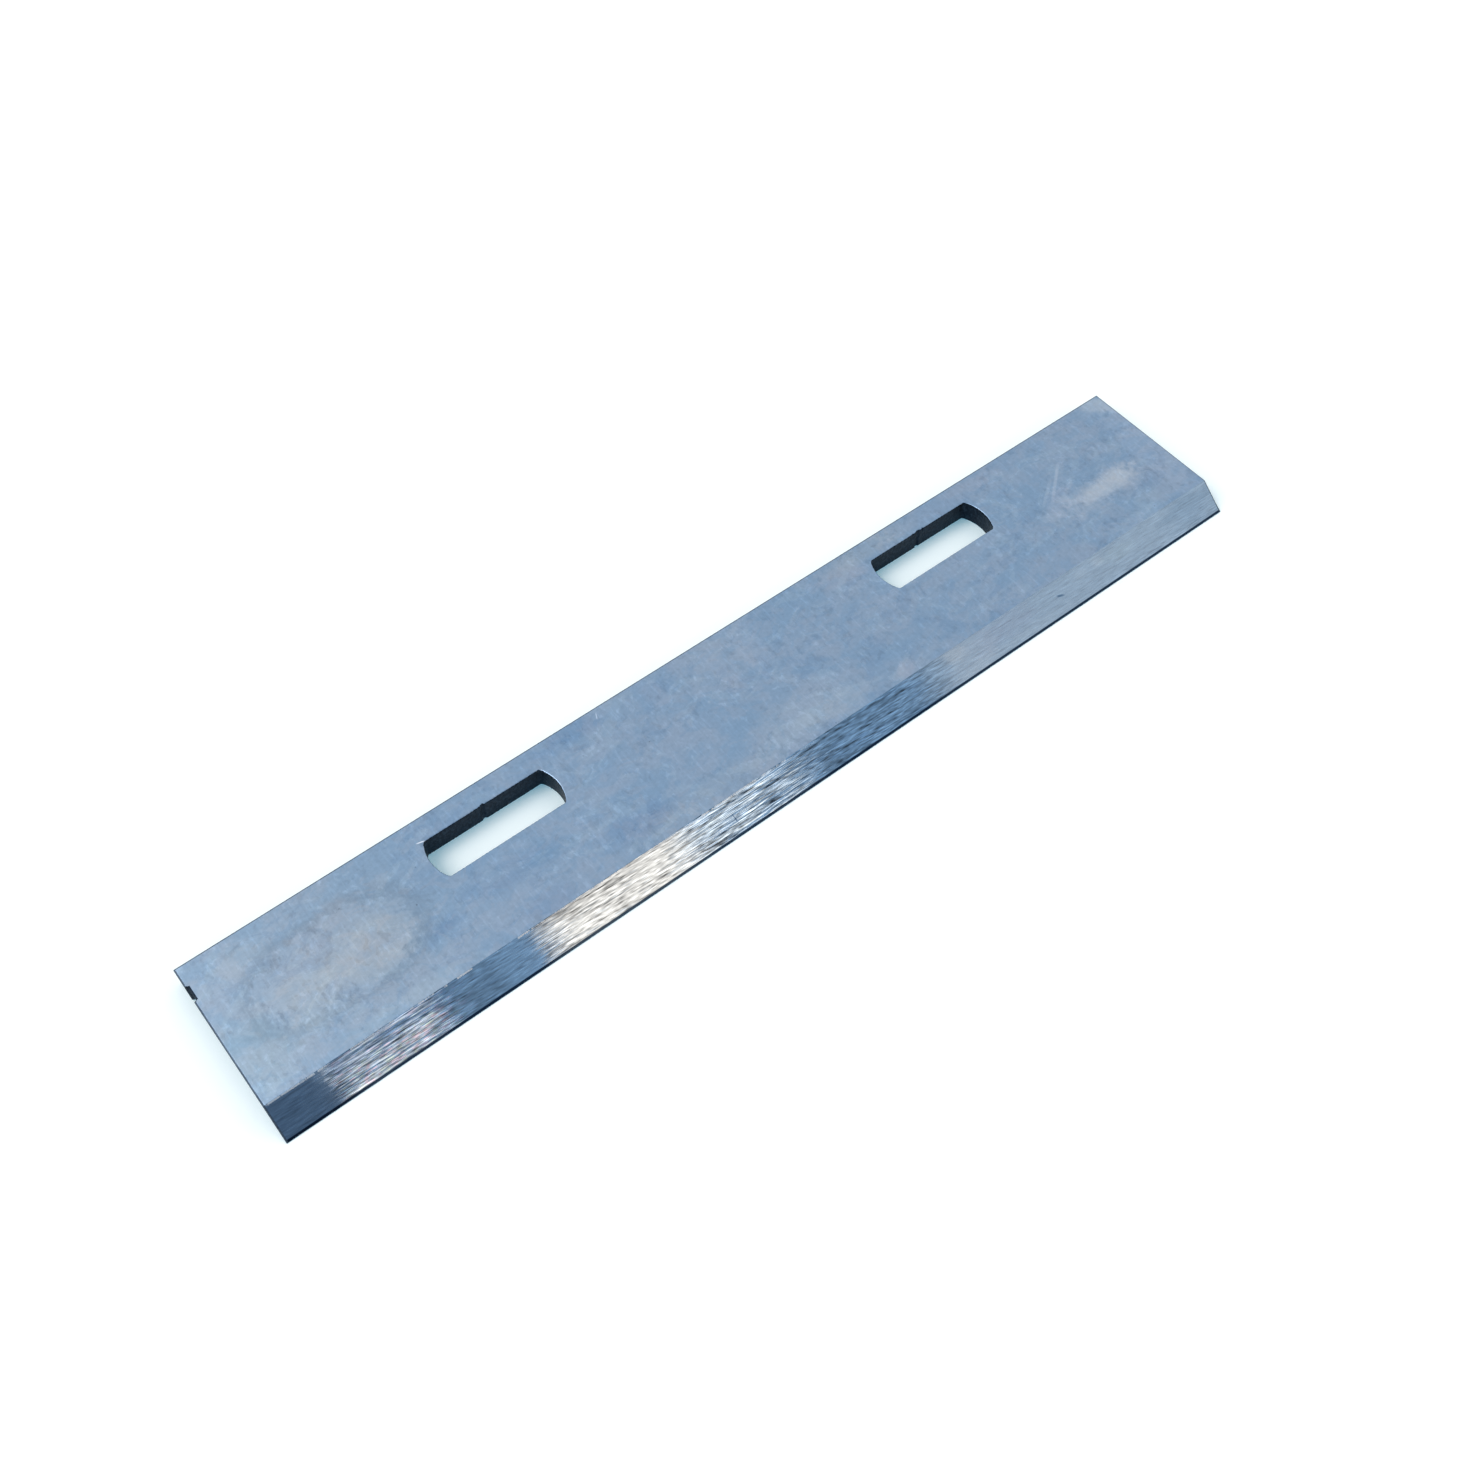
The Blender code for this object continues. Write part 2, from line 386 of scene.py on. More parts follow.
@dataclass(frozen=True)
class GroundFaceFinish(Finish):
    """Surface-ground face: fine lines across the knife, a mottled thin film and a few dark specks.

    Attributes:
        steel: Colour of the ground steel.
        cool: Its bluer tone.
        warm: Its redder tone.
        deep: Colour of the dark blotches.
        pale: Colour of the pale clouds.
        line_depth: Depth of the grinding lines, in metres.
        patches: The film's patches.
        scratches: The scratches.
    """

    name: str = "ground_face_steel"
    roughness: float = 0.34
    steel: Colour = (0.243, 0.345, 0.476)
    cool: Colour = (0.212, 0.325, 0.468)
    warm: Colour = (0.275, 0.356, 0.472)
    deep: Colour = (0.168, 0.268, 0.412)
    pale: Colour = (0.320, 0.430, 0.545)
    line_depth: float = 0.000004
    patches: tuple[FilmPatch, ...] = (
        FilmPatch((-62.0, 2.0), (22.0, 13.0), (0.016, 0.002, -0.022), ragged=0.4),
        FilmPatch((-53.8, 1.7), (9.0, 5.2), (0.034, 0.014, -0.004), rim=0.13, ragged=0.50),
        FilmPatch((-50.8, 0.8), (5.6, 3.6), (0.038, 0.028, 0.008), ragged=0.9),
        FilmPatch((-58.5, -0.4), (3.6, 3.8), (0.036, 0.028, 0.010), ragged=1.0),
        FilmPatch((-66.0, -3.0), (3.6, 5.4), (0.000, 0.006, -0.004), ragged=0.9),
        FilmPatch((-50.0, -7.6), (7.0, 1.6), (0.026, 0.032, 0.026), ragged=0.8),
        FilmPatch((-11.0, -6.6), (11.0, 2.2), (0.036, 0.018, -0.004), ragged=0.8),
        FilmPatch((27.0, 10.2), (7.0, 1.5), (0.044, 0.026, -0.002), ragged=0.6),
        FilmPatch((57.0, -7.4), (5.0, 1.4), (0.034, 0.038, 0.036), ragged=0.8),
        FilmPatch((66.5, 0.0), (3.0, 9.0), (0.034, 0.032, 0.034), ragged=0.6),
        FilmPatch((-62.0, 8.0), (3.0, 2.0), (0.030, 0.024, 0.012), ragged=0.9),
        FilmPatch((-38.0, 4.6), (6.0, 2.4), (-0.014, -0.014, -0.010), ragged=0.6),
        FilmPatch((-33.5, -0.9), (5.6, 1.6), (-0.040, -0.038, -0.030), slant=-0.08, ragged=0.9),
        FilmPatch((-32.0, -6.6), (3.0, 1.4), (-0.022, -0.028, -0.026), ragged=0.9),
        FilmPatch((-43.0, -2.2), (2.4, 0.8), (-0.034, -0.036, -0.030), slant=0.3, ragged=0.9),
        FilmPatch((-18.0, 10.2), (5.5, 1.3), (-0.034, -0.032, -0.020), ragged=0.7),
        FilmPatch((-18.5, -4.6), (4.6, 1.9), (-0.026, -0.030, -0.022), ragged=0.9),
        FilmPatch((2.5, 8.0), (5.0, 3.6), (0.022, 0.014, 0.004), ragged=0.6),
        FilmPatch((5.0, -4.5), (6.5, 3.0), (0.024, 0.020, 0.012), ragged=0.6),
        FilmPatch((21.8, 8.6), (3.4, 1.6), (0.036, 0.016, 0.002), slant=-0.2, ragged=0.6),
        FilmPatch((18.5, -6.9), (1.9, 1.0), (0.050, 0.026, 0.010), slant=0.3, ragged=0.8),
        FilmPatch((40.0, 9.9), (11.0, 1.2), (0.020, 0.008, 0.002), ragged=0.6),
        FilmPatch((58.0, -0.7), (4.6, 1.2), (0.092, 0.080, 0.058), slant=0.06, ragged=1.3),
        FilmPatch((56.2, -0.9), (6.4, 2.1), (0.064, 0.046, 0.026), slant=0.05, ragged=1.2),
        FilmPatch((51.0, 1.0), (3.4, 1.6), (0.040, 0.026, 0.018), slant=0.5, ragged=1.1),
        FilmPatch((66.9, 9.9), (2.0, 1.7), (0.100, 0.085, 0.060), slant=-0.5, ragged=0.7),
        FilmPatch((8.5, -5.8), (5.5, 1.5), (0.030, 0.024, 0.012), ragged=0.8),
        FilmPatch((6.2, 6.4), (1.9, 4.2), (0.034, 0.026, 0.022)),
        FilmPatch((1.4, 6.0), (1.2, 4.0), (0.026, 0.018, 0.014)),
        FilmPatch((-6.8, 8.8), (1.4, 2.6), (0.022, 0.012, 0.008)),
    )
    scratches: tuple[Scratch, ...] = (
        Scratch((-39.7, 8.68), (-38.3, 8.30), 0.15, (0.50, 0.47, 0.44)),
        Scratch((-14.2, 9.8), (-13.7, 10.9), 0.14, (0.22, 0.24, 0.26)),
        Scratch((49.6, 0.8), (56.2, 6.4), 0.42, (0.075, 0.070, 0.064)),
        Scratch((48.0, 0.9), (53.4, 4.8), 0.46, (0.050, 0.046, 0.040)),
        Scratch((50.8, 0.2), (57.2, 4.4), 0.60, (0.026, 0.024, 0.020)),
    )

    def paint(self, sheet: NodeSheet, place: Wire) -> dict[str, Any]:
        """Tones, blotches and clouds, then flecks, the patches, the scratches, the lines and the specks.

        Args:
            sheet: The material's node sheet.
            place: Place on the piece, in millimetres.

        Returns:
            What varies over the surface, by the shader's socket.
        """
        x, y, _ = sheet.parts(place)
        hue = sheet.noise(place, (13.0, 7.0, 60.0), 4.0, 0.60, 0.8, shift=3.1)
        blotch = sheet.noise(place, (5.2, 3.6, 30.0), 5.0, 0.70, 0.9, shift=11.7)
        cloud = sheet.noise(place, (7.0, 4.6, 40.0), 5.0, 0.70, 1.4, shift=21.4)
        fleck = sheet.noise(place, (0.95, 1.4, 20.0), 3.0, 0.62, 0.3, shift=5.3)
        strokes = sheet.noise(place, (0.42, 2.4, 20.0), 2.0, 0.60, 0.0, shift=25.2)
        tone = sheet.noise(place, (3.0, 2.3, 20.0), 4.0, 0.62, 0.7, shift=33.8)
        grit = sheet.noise(place, (0.50, 0.44, 20.0), 2.0, 0.60, 0.0, shift=15.9)
        lines = sheet.noise(place, (0.55, 16.0, 40.0), 2.0, 0.6, 0.0, shift=1.9)
        fine_lines = sheet.noise(place, (0.22, 9.0, 40.0), 1.0, 0.5, 0.0, shift=8.2)

        colour = sheet.blend(self.cool, self.warm, hue.rise(0.38, 0.62))
        for tint, share in (
                (self.steel, 0.35),
                (self.cool, tone.rise(0.535, 0.570) * 0.45),
                (self.warm, tone.rise(0.465, 0.430) * 0.45),
                (self.deep, blotch.rise(0.550, 0.585) * 0.30),
                (self.pale, cloud.rise(0.550, 0.585) * 0.26)):
            colour = sheet.blend(colour, tint, share)
        dark_flecks = fleck.rise(0.55, 0.62) * blotch.rise(0.42, 0.54)
        pale_flecks = fleck.rise(0.44, 0.36) * cloud.rise(0.44, 0.56)
        colour = colour * (1.0 - dark_flecks * 0.10 + pale_flecks * 0.13 + strokes.rise(0.56, 0.68) * 0.09)

        wander = (blotch * 0.40 + cloud * 0.30 + fleck * 0.30 - 0.5) * 3.8
        for patch in self.patches:
            reach = patch.reach(x, y, wander)
            weight = reach.rise(1.30, 0.50) * (0.25 + fleck * 0.9 + cloud * 0.6)
            colour = colour + patch.tint * weight
            if patch.rim:
                colour = colour * (1.0 - reach.band(1.00, 1.20, 0.20) * patch.rim)
        for scratch in self.scratches:
            colour = colour + scratch.tint * scratch.mask(x, y)

        grain = 1.0 + (lines - 0.5) * 0.12 + (fine_lines - 0.5) * 0.08 + (grit - 0.5) * 0.26
        specks = sheet.specks(place, 2.3, 0.13, 0.16, shift=4.0)
        return {"Base Color": colour * grain * (1.0 - specks * 0.40),
                "Roughness": self.roughness + (blotch - 0.5) * 0.10 + (lines - 0.5) * 0.06,
                "Normal": sheet.bump(lines * 0.6 + fine_lines * 0.4, self.line_depth)}


@dataclass(frozen=True)
class BevelFinish(Finish):
    """Ground bevel: fine bright streaks nearly along the cutting edge.

    Attributes:
        steel: Colour of the ground steel.
        dark_streak: Colour of its darker streaks.
        tinge_one: Reddish colour of some streaks in the specky zone, a painted iridescent sparkle of its
            glint.
        tinge_two: Greenish colour of others, painted the same way.
        shaded: Painted darker reflection of the specky zone's upper part, where the lit card is not
            mirrored.
        edge_shadow: Colour of the painted shadow line along the cutting edge.
        crease_glint: Colour of the painted glint, bright dashes along the crease.
        darkest: Colour below which nothing falls.
        groove_depth: Depth of the grooves, in metres.
        slope: How the streaks lean against the edge, as rise over run.
        specky_in: Where the specky zone at the left sets in, along the knife.
        specky_out: Where it ends.
        slate: From where to where the bevel is calm and slate blue, right of the specky zone.
        streaky: From where to where its streaks are strongest.
        calm: Where the streaks begin to calm down and where they are calm.
        edge: Where the cutting edge is, across the knife.
        edge_shadow_reach: How far from the cutting edge its painted shadow line reaches.
        crease: Where the bevel meets the flat top, across the knife.
        crease_glint_reach: How far from the crease its painted glint dashes reach.
        marks: Dark marks.
        patches: Patches of film.
    """

    name: str = "bevel_ground_steel"
    roughness: float = 0.04
    steel: Colour = (0.300, 0.395, 0.500)
    dark_streak: Colour = (0.130, 0.200, 0.300)
    tinge_one: Colour = (0.450, 0.370, 0.470)
    tinge_two: Colour = (0.350, 0.460, 0.420)
    shaded: Colour = (0.175, 0.262, 0.400)
    edge_shadow: Colour = (0.010, 0.024, 0.052)
    crease_glint: Colour = (0.62, 0.68, 0.74)
    darkest: Colour = (0.02, 0.03, 0.05)
    groove_depth: float = 0.000012
    slope: float = 0.03
    specky_in: Span = (-61.8, -60.0)
    specky_out: Span = (-49.0, -43.0)
    slate: Span = (-46.5, -36.0)
    streaky: Span = (-15.5, -2.5)
    calm: Span = (18.5, 25.0)
    edge: float = -11.5
    edge_shadow_reach: float = 0.24
    crease: float = -7.994
    crease_glint_reach: float = 0.20
    marks: tuple[Scratch, ...] = (
        Scratch((40.7, -9.42), (42.1, -9.78), 0.22, (-0.20, -0.22, -0.23)),
        Scratch((-9.4, -9.3), (-9.2, -10.6), 0.16, (-0.20, -0.24, -0.26)),
    )
    patches: tuple[FilmPatch, ...] = (
        FilmPatch((-61.3, -8.7), (1.4, 0.8), (0.110, 0.130, 0.140), slant=-0.3, ragged=0.5),
        FilmPatch((-59.4, -10.9), (1.1, 0.5), (0.150, 0.160, 0.150), ragged=0.5),
        FilmPatch((45.2, -8.9), (1.1, 0.45), (0.034, 0.034, 0.032), ragged=0.8),
        FilmPatch((48.1, -8.7), (0.9, 0.6), (0.050, 0.046, 0.040), ragged=0.8),
        FilmPatch((51.8, -9.2), (3.0, 0.8), (0.022, 0.024, 0.014), ragged=0.8),
        FilmPatch((32.0, -9.2), (5.0, 1.4), (0.010, 0.000, 0.004), ragged=0.9),
        FilmPatch((24.6, -8.7), (1.6, 1.0), (0.040, 0.026, 0.010), ragged=0.8),
        FilmPatch((26.0, -9.8), (4.4, 2.4), (0.052, 0.046, 0.040), ragged=0.7),
        FilmPatch((33.0, -10.9), (9.0, 0.7), (0.030, 0.026, 0.020), ragged=0.7),
        FilmPatch((64.0, -9.4), (5.0, 1.8), (-0.044, -0.040, -0.034), ragged=0.7),
    )

    def paint(self, sheet: NodeSheet, place: Wire) -> dict[str, Any]:
        """Streaks by zone, partly painted glints, then the patches and the marks, the painted shade, the
        crease's painted glint dashes and the edge's painted shadow line.

        Args:
            sheet: The material's node sheet.
            place: Place on the piece, in millimetres.

        Returns:
            What varies over the surface, by the shader's socket.
        """
        x, y, z = sheet.parts(place)
        sheared = sheet.joined(x, y + x * self.slope, z)
        streak = sheet.noise(sheet.rows(sheared, 0.13), (4.4, 1.0, 1.0), 2.0, 0.5, 0.0, shift=2.4)
        dash = sheet.noise(sheet.rows(sheared, 0.10, 0.4), (1.4, 1.0, 1.0), 1.0, 0.5, 0.0, shift=7.7)
        cut = sheet.noise(sheet.rows(sheared, 0.09, 0.7), (2.4, 1.0, 1.0), 1.0, 0.5, 0.0, shift=27.3)
        hue = sheet.noise(sheet.rows(sheared, 0.16, 0.2), (0.8, 1.0, 1.0), 1.0, 0.5, 0.0, shift=14.2)
        groove = sheet.noise(place, (9.0, 0.15, 0.15), 1.0, 0.5, 0.0, shift=41.9)
        broad = sheet.noise(sheared, (6.0, 1.8, 1.8), 3.0, 0.60, 0.4, shift=4.6)

        # How lively the streaks are, from zone to zone. The zones follow the bevel's reflections, so the
        # streaks' contrast is partly grinding grain and partly painted glints: strong where the lit cards
        # are mirrored, calm in the slate and plain zones.
        calm = x.rise(*self.calm)
        still = x.band(*self.slate, 2.0) * 0.30 + x.band(-41.0, self.slate[1], 2.0) * 0.20
        still = still + x.rise(15.0, 19.0) * 0.15 + calm * 0.64
        lively = x.band(*self.streaky, 3.0) * 0.22 + y.rise(-10.6, -11.2) * x.rise(44.0, 56.0) * 0.20
        busy = (1.0 - still + lively) * x.rise(-62.4, -60.8).most(0.35)
        specky = x.rise(*self.specky_in) * x.rise(*reversed(self.specky_out))
        upper = y.rise(-9.7, -8.8)

        # Painted light: the tinges paint the glint's iridescent sparkle, and the shaded colour paints the
        # darker reflection of the specky zone's upper part.
        colour = self.steel
        for tint, share in (
                (self.tinge_one, hue.rise(0.56, 0.66) * 0.60 * specky),
                (self.tinge_two, hue.rise(0.44, 0.34) * 0.60 * specky),
                (self.shaded, upper * specky * 0.56),
                (self.dark_streak, cut.rise(0.58, 0.66) * busy.least(1.0) * 0.50)):
            colour = sheet.blend(colour, tint, share)
        wander = (broad - 0.5) * 3.0
        for patch in self.patches:
            colour = colour + patch.tint * patch.reach(x, y, wander).rise(1.3, 0.4)
        # Streak contrast in the colour: grinding grain and, zone by zone, painted glints.
        level = 1.0 + ((streak - 0.5) * 2.2 + (dash - 0.5) * 2.4) * busy + (broad - 0.5) * 0.20
        # Painted shade and reflection: the upper part of the second card's glint zone and a leaning band low
        # in the slate zone are darkened, and the slate zone's right end lightened, to follow the bevel's
        # reflections.
        shade = upper * x.rise(-36.0, -34.0) * x.rise(-16.0, -34.0) * 0.26
        shade = shade + (x + y * 0.6).band(-51.5, -46.0, 2.0) * y.rise(-8.6, -9.4) * 0.14
        colour = colour * level * (1.0 - shade + x.band(-40.5, self.slate[1], 2.0) * 0.16)
        for mark in self.marks:
            colour = colour + mark.tint * mark.mask(x, y)
        colour = colour.most(self.darkest)

        # Painted highlight: bright glint dashes along the crease, left of the middle, where the lit cards
        # are mirrored.
        glint_dashes = sheet.noise(place, (1.6, 40.0, 40.0), 3.0, 0.7, 0.0, shift=19.5).rise(0.47, 0.56)
        crease_glint = y.rise(self.crease - self.crease_glint_reach, self.crease - 0.3 * self.crease_glint_reach)
        crease_glint = crease_glint * glint_dashes * x.rise(10.0, -12.0)
        colour = sheet.blend(colour, self.crease_glint, crease_glint * 0.80)
        # Painted shadow: a dark line along the cutting edge stands in for the shadow gap under it.
        line = y.rise(self.edge + self.edge_shadow_reach, self.edge + 0.85 * self.edge_shadow_reach)
        return {"Base Color": sheet.blend(colour, self.edge_shadow, line * 0.98),
                "Roughness": self.roughness + calm * 0.21 + crease_glint * 0.40,
                "Normal": sheet.bump((groove - 0.5) * busy, self.groove_depth)}


@dataclass(frozen=True)
class ScaleFinish(Finish):
    """Dark rough scale on the cut walls of the slots.

    Attributes:
        dark: Colour of the scale.
        worn: Colour where it is worn.
        grain_depth: Depth of its grain, in metres.
    """

    name: str = "slot_wall_scale"
    roughness: float = 0.55
    dark: Colour = (0.012, 0.021, 0.036)
    worn: Colour = (0.032, 0.052, 0.080)
    grain_depth: float = 0.00006

    def paint(self, sheet: NodeSheet, place: Wire) -> dict[str, Any]:
        """Grain that is worn in places, by the shader's socket."""
        grain = sheet.noise(place, (0.35, 0.35, 0.5), 4.0, 0.65, 0.3, shift=6.1)
        return {"Base Color": sheet.blend(self.dark, self.worn, grain.rise(0.42, 0.72)),
                "Roughness": self.roughness,
                "Normal": sheet.bump(grain, self.grain_depth)}


@dataclass(frozen=True)
class EdgeFaceFinish(Finish):
    """Ground ends and back and the rounded arrises beside them, with lines along them. Their colour is much
    darker than the top's: painted shade that draws the dark outline along these edges.

    Attributes:
        steel: Colour of the ground steel, darkened as painted shade.
        dark: Colour of its darker lines and clouds.
        line_depth: Depth of the lines, in metres.
    """

    name: str = "edge_face_steel"
    roughness: float = 0.38
    steel: Colour = (0.075, 0.105, 0.145)
    dark: Colour = (0.035, 0.052, 0.078)
    line_depth: float = 0.000010

    def paint(self, sheet: NodeSheet, place: Wire) -> dict[str, Any]:
        """Lines and clouds.

        Args:
            sheet: The material's node sheet.
            place: Place on the piece, in millimetres.

        Returns:
            What varies over the surface, by the shader's socket.
        """
        lines = sheet.noise(place, (5.0, 5.0, 0.12), 2.0, 0.55, 0.0, shift=9.4)
        cloud = sheet.noise(place, (6.0, 6.0, 2.0), 3.0, 0.6, 0.5, shift=2.2)
        share = (lines * 0.6 + cloud * 0.4).rise(0.42, 0.66)
        return {"Base Color": sheet.blend(self.steel, self.dark, share),
                "Roughness": self.roughness + (cloud - 0.5) * 0.12,
                "Normal": sheet.bump(lines, self.line_depth)}


class Zone(Enum):
    """Parts of the knife's surface that have a finish of their own, in the order of its material slots."""

    GROUND_FACE = 0
    BEVEL = 1
    SLOT_WALL = 2
    EDGE_FACE = 3


FINISHES = {
    Zone.GROUND_FACE: GroundFaceFinish(),
    Zone.BEVEL: BevelFinish(),
    Zone.SLOT_WALL: ScaleFinish(),
    Zone.EDGE_FACE: EdgeFaceFinish(),
}


# Shapes

def smooth_step(value: np.ndarray, low: float, high: float) -> np.ndarray:
    """Cubic step 3t^2 - 2t^3 of the share t of the way from low to high. High may be below low."""
    share = np.clip((value - low) / (high - low), 0.0, 1.0)
    return share * share * (3.0 - 2.0 * share)


def even_nodes(start: float, stop: float, step: float) -> np.ndarray:
    """Evenly spaced values from start to stop, no further apart than step."""
    return np.linspace(start, stop, int(math.ceil(abs(stop - start) / step - 1e-9)) + 1)


def merged_nodes(*runs: np.ndarray) -> np.ndarray:
    """All values of the runs in rising order, without doubles closer than a micrometre."""
    values = np.sort(np.concatenate(runs))
    return values[np.concatenate([[True], np.diff(values) > 1e-6])]


def cell_middles(x: np.ndarray, y: np.ndarray) -> list[np.ndarray]:
    """X and Y of the middles of the cells between the columns and rows."""
    return np.meshgrid((x[1:] + x[:-1]) / 2, (y[1:] + y[:-1]) / 2)


def wandering(place: np.ndarray, length: float, waves: Sequence[int], seed: int) -> np.ndarray:
    """Sum of sines that fit a whole number of times into the length, with seeded phases.

    Each sine has a weight of one over the root of its place in the row, and the sum is scaled to
    stay mostly between -1 and 1.

    Args:
        place: Places along the length.
        length: After which the sum repeats.
        waves: How many waves of each sine fit in the length.
        seed: Seed of the phases.

    Returns:
        The sum at each place.
    """
    phases = np.random.default_rng(seed).uniform(0.0, 2.0 * np.pi, len(waves))
    turns = np.array(waves)[:, None] * 2.0 * np.pi * place.ravel()[None, :] / length + phases[:, None]
    weights = 1.0 / np.sqrt(np.arange(1, len(waves) + 1))[:, None]
    return ((np.sin(turns) * weights).sum(0) / np.sqrt((weights ** 2).sum()) / 1.2).reshape(place.shape)


class Surface:
    """Patches of quads that are gathered, welded and made into one mesh."""

    def __init__(self) -> None:
        """Start without patches."""
        self.points: list[np.ndarray] = []
        self.quads: list[np.ndarray] = []
        self.zones: list[np.ndarray] = []
        self.count = 0

    def add_grid(self, points: np.ndarray, zones: np.ndarray, turned: bool = False,
                 kept: Optional[np.ndarray] = None) -> None:
        """Add a patch, as a grid of points with a quad in each of its cells.

        Args:
            points: Array of rows by columns by 3.
            zones: Zone number of each cell.
            turned: True turns the faces to the other side.
            kept: False for each cell that is left open.
        """
        rows, columns = points.shape[:2]
        index = np.arange(rows * columns).reshape(rows, columns) + self.count
        corners = [index[:-1, :-1], index[:-1, 1:], index[1:, 1:], index[1:, :-1]]
        if turned:
            corners.reverse()
        quads = np.stack(corners, axis=-1)
        kept = np.ones(quads.shape[:2], bool) if kept is None else kept
        self.points.append(points.reshape(-1, 3))
        self.quads.append(quads[kept])
        self.zones.append(np.broadcast_to(zones, quads.shape[:2])[kept])
        self.count += rows * columns

    def object(self, name: str) -> bpy.types.Object:
        """Weld the patches where their points meet, and make the mesh's object.

        Points within a hundredth of a micrometre become one, and points of no quad are dropped.

        Args:
            name: Name of the object and its mesh.

        Returns:
            The object, in the scene.
        """
        points = np.concatenate(self.points)
        quads = np.concatenate(self.quads)
        _, first, same = np.unique(np.round(points * WELDS_PER_METRE).astype(np.int64), axis=0,
                                   return_index=True, return_inverse=True)
        used, quads = np.unique(same.reshape(-1)[quads], return_inverse=True)
        mesh = bpy.data.meshes.new(name)
        mesh.from_pydata(points[first][used].tolist(), [], quads.reshape(-1, 4).tolist(), shade_flat=False)
        mesh.polygons.foreach_set("material_index", np.concatenate(self.zones).astype(np.int32))
        mesh.update()
        made = bpy.data.objects.new(name, mesh)
        bpy.context.scene.collection.objects.link(made)
        return made


@dataclass
class SlotOpening:
    """One screw slot: its outline, its wall and its broken rims.

    Attributes:
        centre: Its middle in plan.
        seed: Seed of its wall's unevenness.
        length: Its length over the shallow round ends.
        width: Its width.
        end_radius: Radius of the ends.
        corner_radius: Radius of the corners between ends and walls.
        rim_break: Size of the rims' rounding.
        mark_width: Width of the start mark in the back wall.
        mark_depth: Depth of the start mark.
        chipping: How far the upper rim is chipped beside the start mark.
        block_margin: From the slot to the edge of its block in the plan grid.
        roughness: How uneven the wall is.
        nodes: Nodes of a quarter of the outline, on its end, its corner and its wall.
        beside: Half width of the outline piece that gives a node its direction.
        drift: How far the coarse and the fine unevenness lean round the slot from bottom to top.
        chipped: Distances from the start mark's middle with no chips and with all of them.
    """

    centre: Span
    seed: int
    length: float = 0.01686
    width: float = 0.0055
    end_radius: float = 0.0055
    corner_radius: float = 0.00035
    rim_break: float = 0.00013
    mark_width: float = 0.0006
    mark_depth: float = 0.00016
    chipping: float = 0.00010
    block_margin: float = 0.0009
    roughness: float = 0.000022
    nodes: tuple[int, int, int] = (80, 40, 60)
    beside: float = 0.00005
    drift: Span = (0.0006, 0.0021)
    chipped: Span = (0.0017, 0.0007)

    @property
    def block(self) -> tuple[float, float, float, float]:
        """Left, front, right and back of the slot's block in the plan grid."""
        half_length = self.length / 2 + self.block_margin
        half_width = self.width / 2 + self.block_margin
        return (self.centre[0] - half_length, self.centre[1] - half_width,
                self.centre[0] + half_length, self.centre[1] + half_width)

    def quarter(self) -> np.ndarray:
        """Outline from the middle of the right end to the middle of the back wall.

        It is a shallow arc about a centre on the slot's long axis, then the corner's arc, which
        blends it into the wall, then the straight wall. It starts and ends half way, so that four
        mirrored quarters close.

        Returns:
            Points from the slot's centre, in plan.
        """
        half_length, half_width = self.length / 2, self.width / 2
        end_centre = half_length - self.end_radius
        corner_y = half_width - self.corner_radius
        reach = math.sqrt((self.end_radius - self.corner_radius) ** 2 - corner_y ** 2)
        blend = math.atan2(corner_y, reach)
        on_end, on_corner, on_wall = self.nodes
        end = np.linspace(0.0, blend, on_end)
        corner = np.linspace(blend, math.pi / 2, on_corner)[1:]
        wall = np.linspace(end_centre + reach, 0.0, on_wall)[1:]
        return np.concatenate([
            np.stack([end_centre + self.end_radius * np.cos(end), self.end_radius * np.sin(end)], 1),
            np.stack([end_centre + reach + self.corner_radius * np.cos(corner),
                      corner_y + self.corner_radius * np.sin(corner)], 1),
            np.stack([wall, np.full_like(wall, half_width)], 1)])

    def loop(self, shares: Sequence[np.ndarray]) -> tuple[np.ndarray, np.ndarray, np.ndarray, float]:
        """Outline nodes and their outward directions, anticlockwise from the front left corner.

        The outline's length between two corners is shared out as the block's side is.

        Args:
            shares: For the front, right, back and left side, the nodes' shares of the side from 0
                to 1, without the last one.

        Returns:
            The nodes in plan, the unit vectors that point into the steel, the nodes' places along
            the outline, and the outline's length.
        """
        quarter = self.quarter()
        steps = np.linalg.norm(np.diff(quarter, axis=0), axis=1)
        travelled = np.concatenate([[0.0], np.cumsum(steps)])
        corner = travelled[self.nodes[0] - 1 + self.nodes[1] // 2]
        whole = travelled[-1]
        # Right end half way up, to the right back corner, to the middle of the back wall, mirrored on
        full = np.concatenate([quarter, (quarter * (-1, 1))[::-1][1:], (quarter * (-1, -1))[1:],
                               (quarter * (1, -1))[::-1][1:]])
        half_along = np.concatenate([travelled, 2 * whole - travelled[::-1][1:]])
        along = np.concatenate([half_along, 2 * whole + half_along[1:]])

        def at(places: np.ndarray) -> np.ndarray:
            """Points of the outline at places along it."""
            wrapped = np.mod(places, 4 * whole)
            return np.stack([np.interp(wrapped, along, full[:, axis]) for axis in (0, 1)], 1)

        sides = ((2 * whole + corner, 4 * whole - corner), (-corner, corner),
                 (corner, 2 * whole - corner), (2 * whole - corner, 2 * whole + corner))
        places = np.concatenate([
            start + (stop - start) * share for (start, stop), share in zip(sides, shares)])
        tangent = at(places + self.beside) - at(places - self.beside)
        outward = np.stack([tangent[:, 1], -tangent[:, 0]], 1)
        outward /= np.linalg.norm(outward, axis=1)[:, None]
        return at(places) + np.array(self.centre), outward, np.mod(places, 4 * whole), 4 * whole

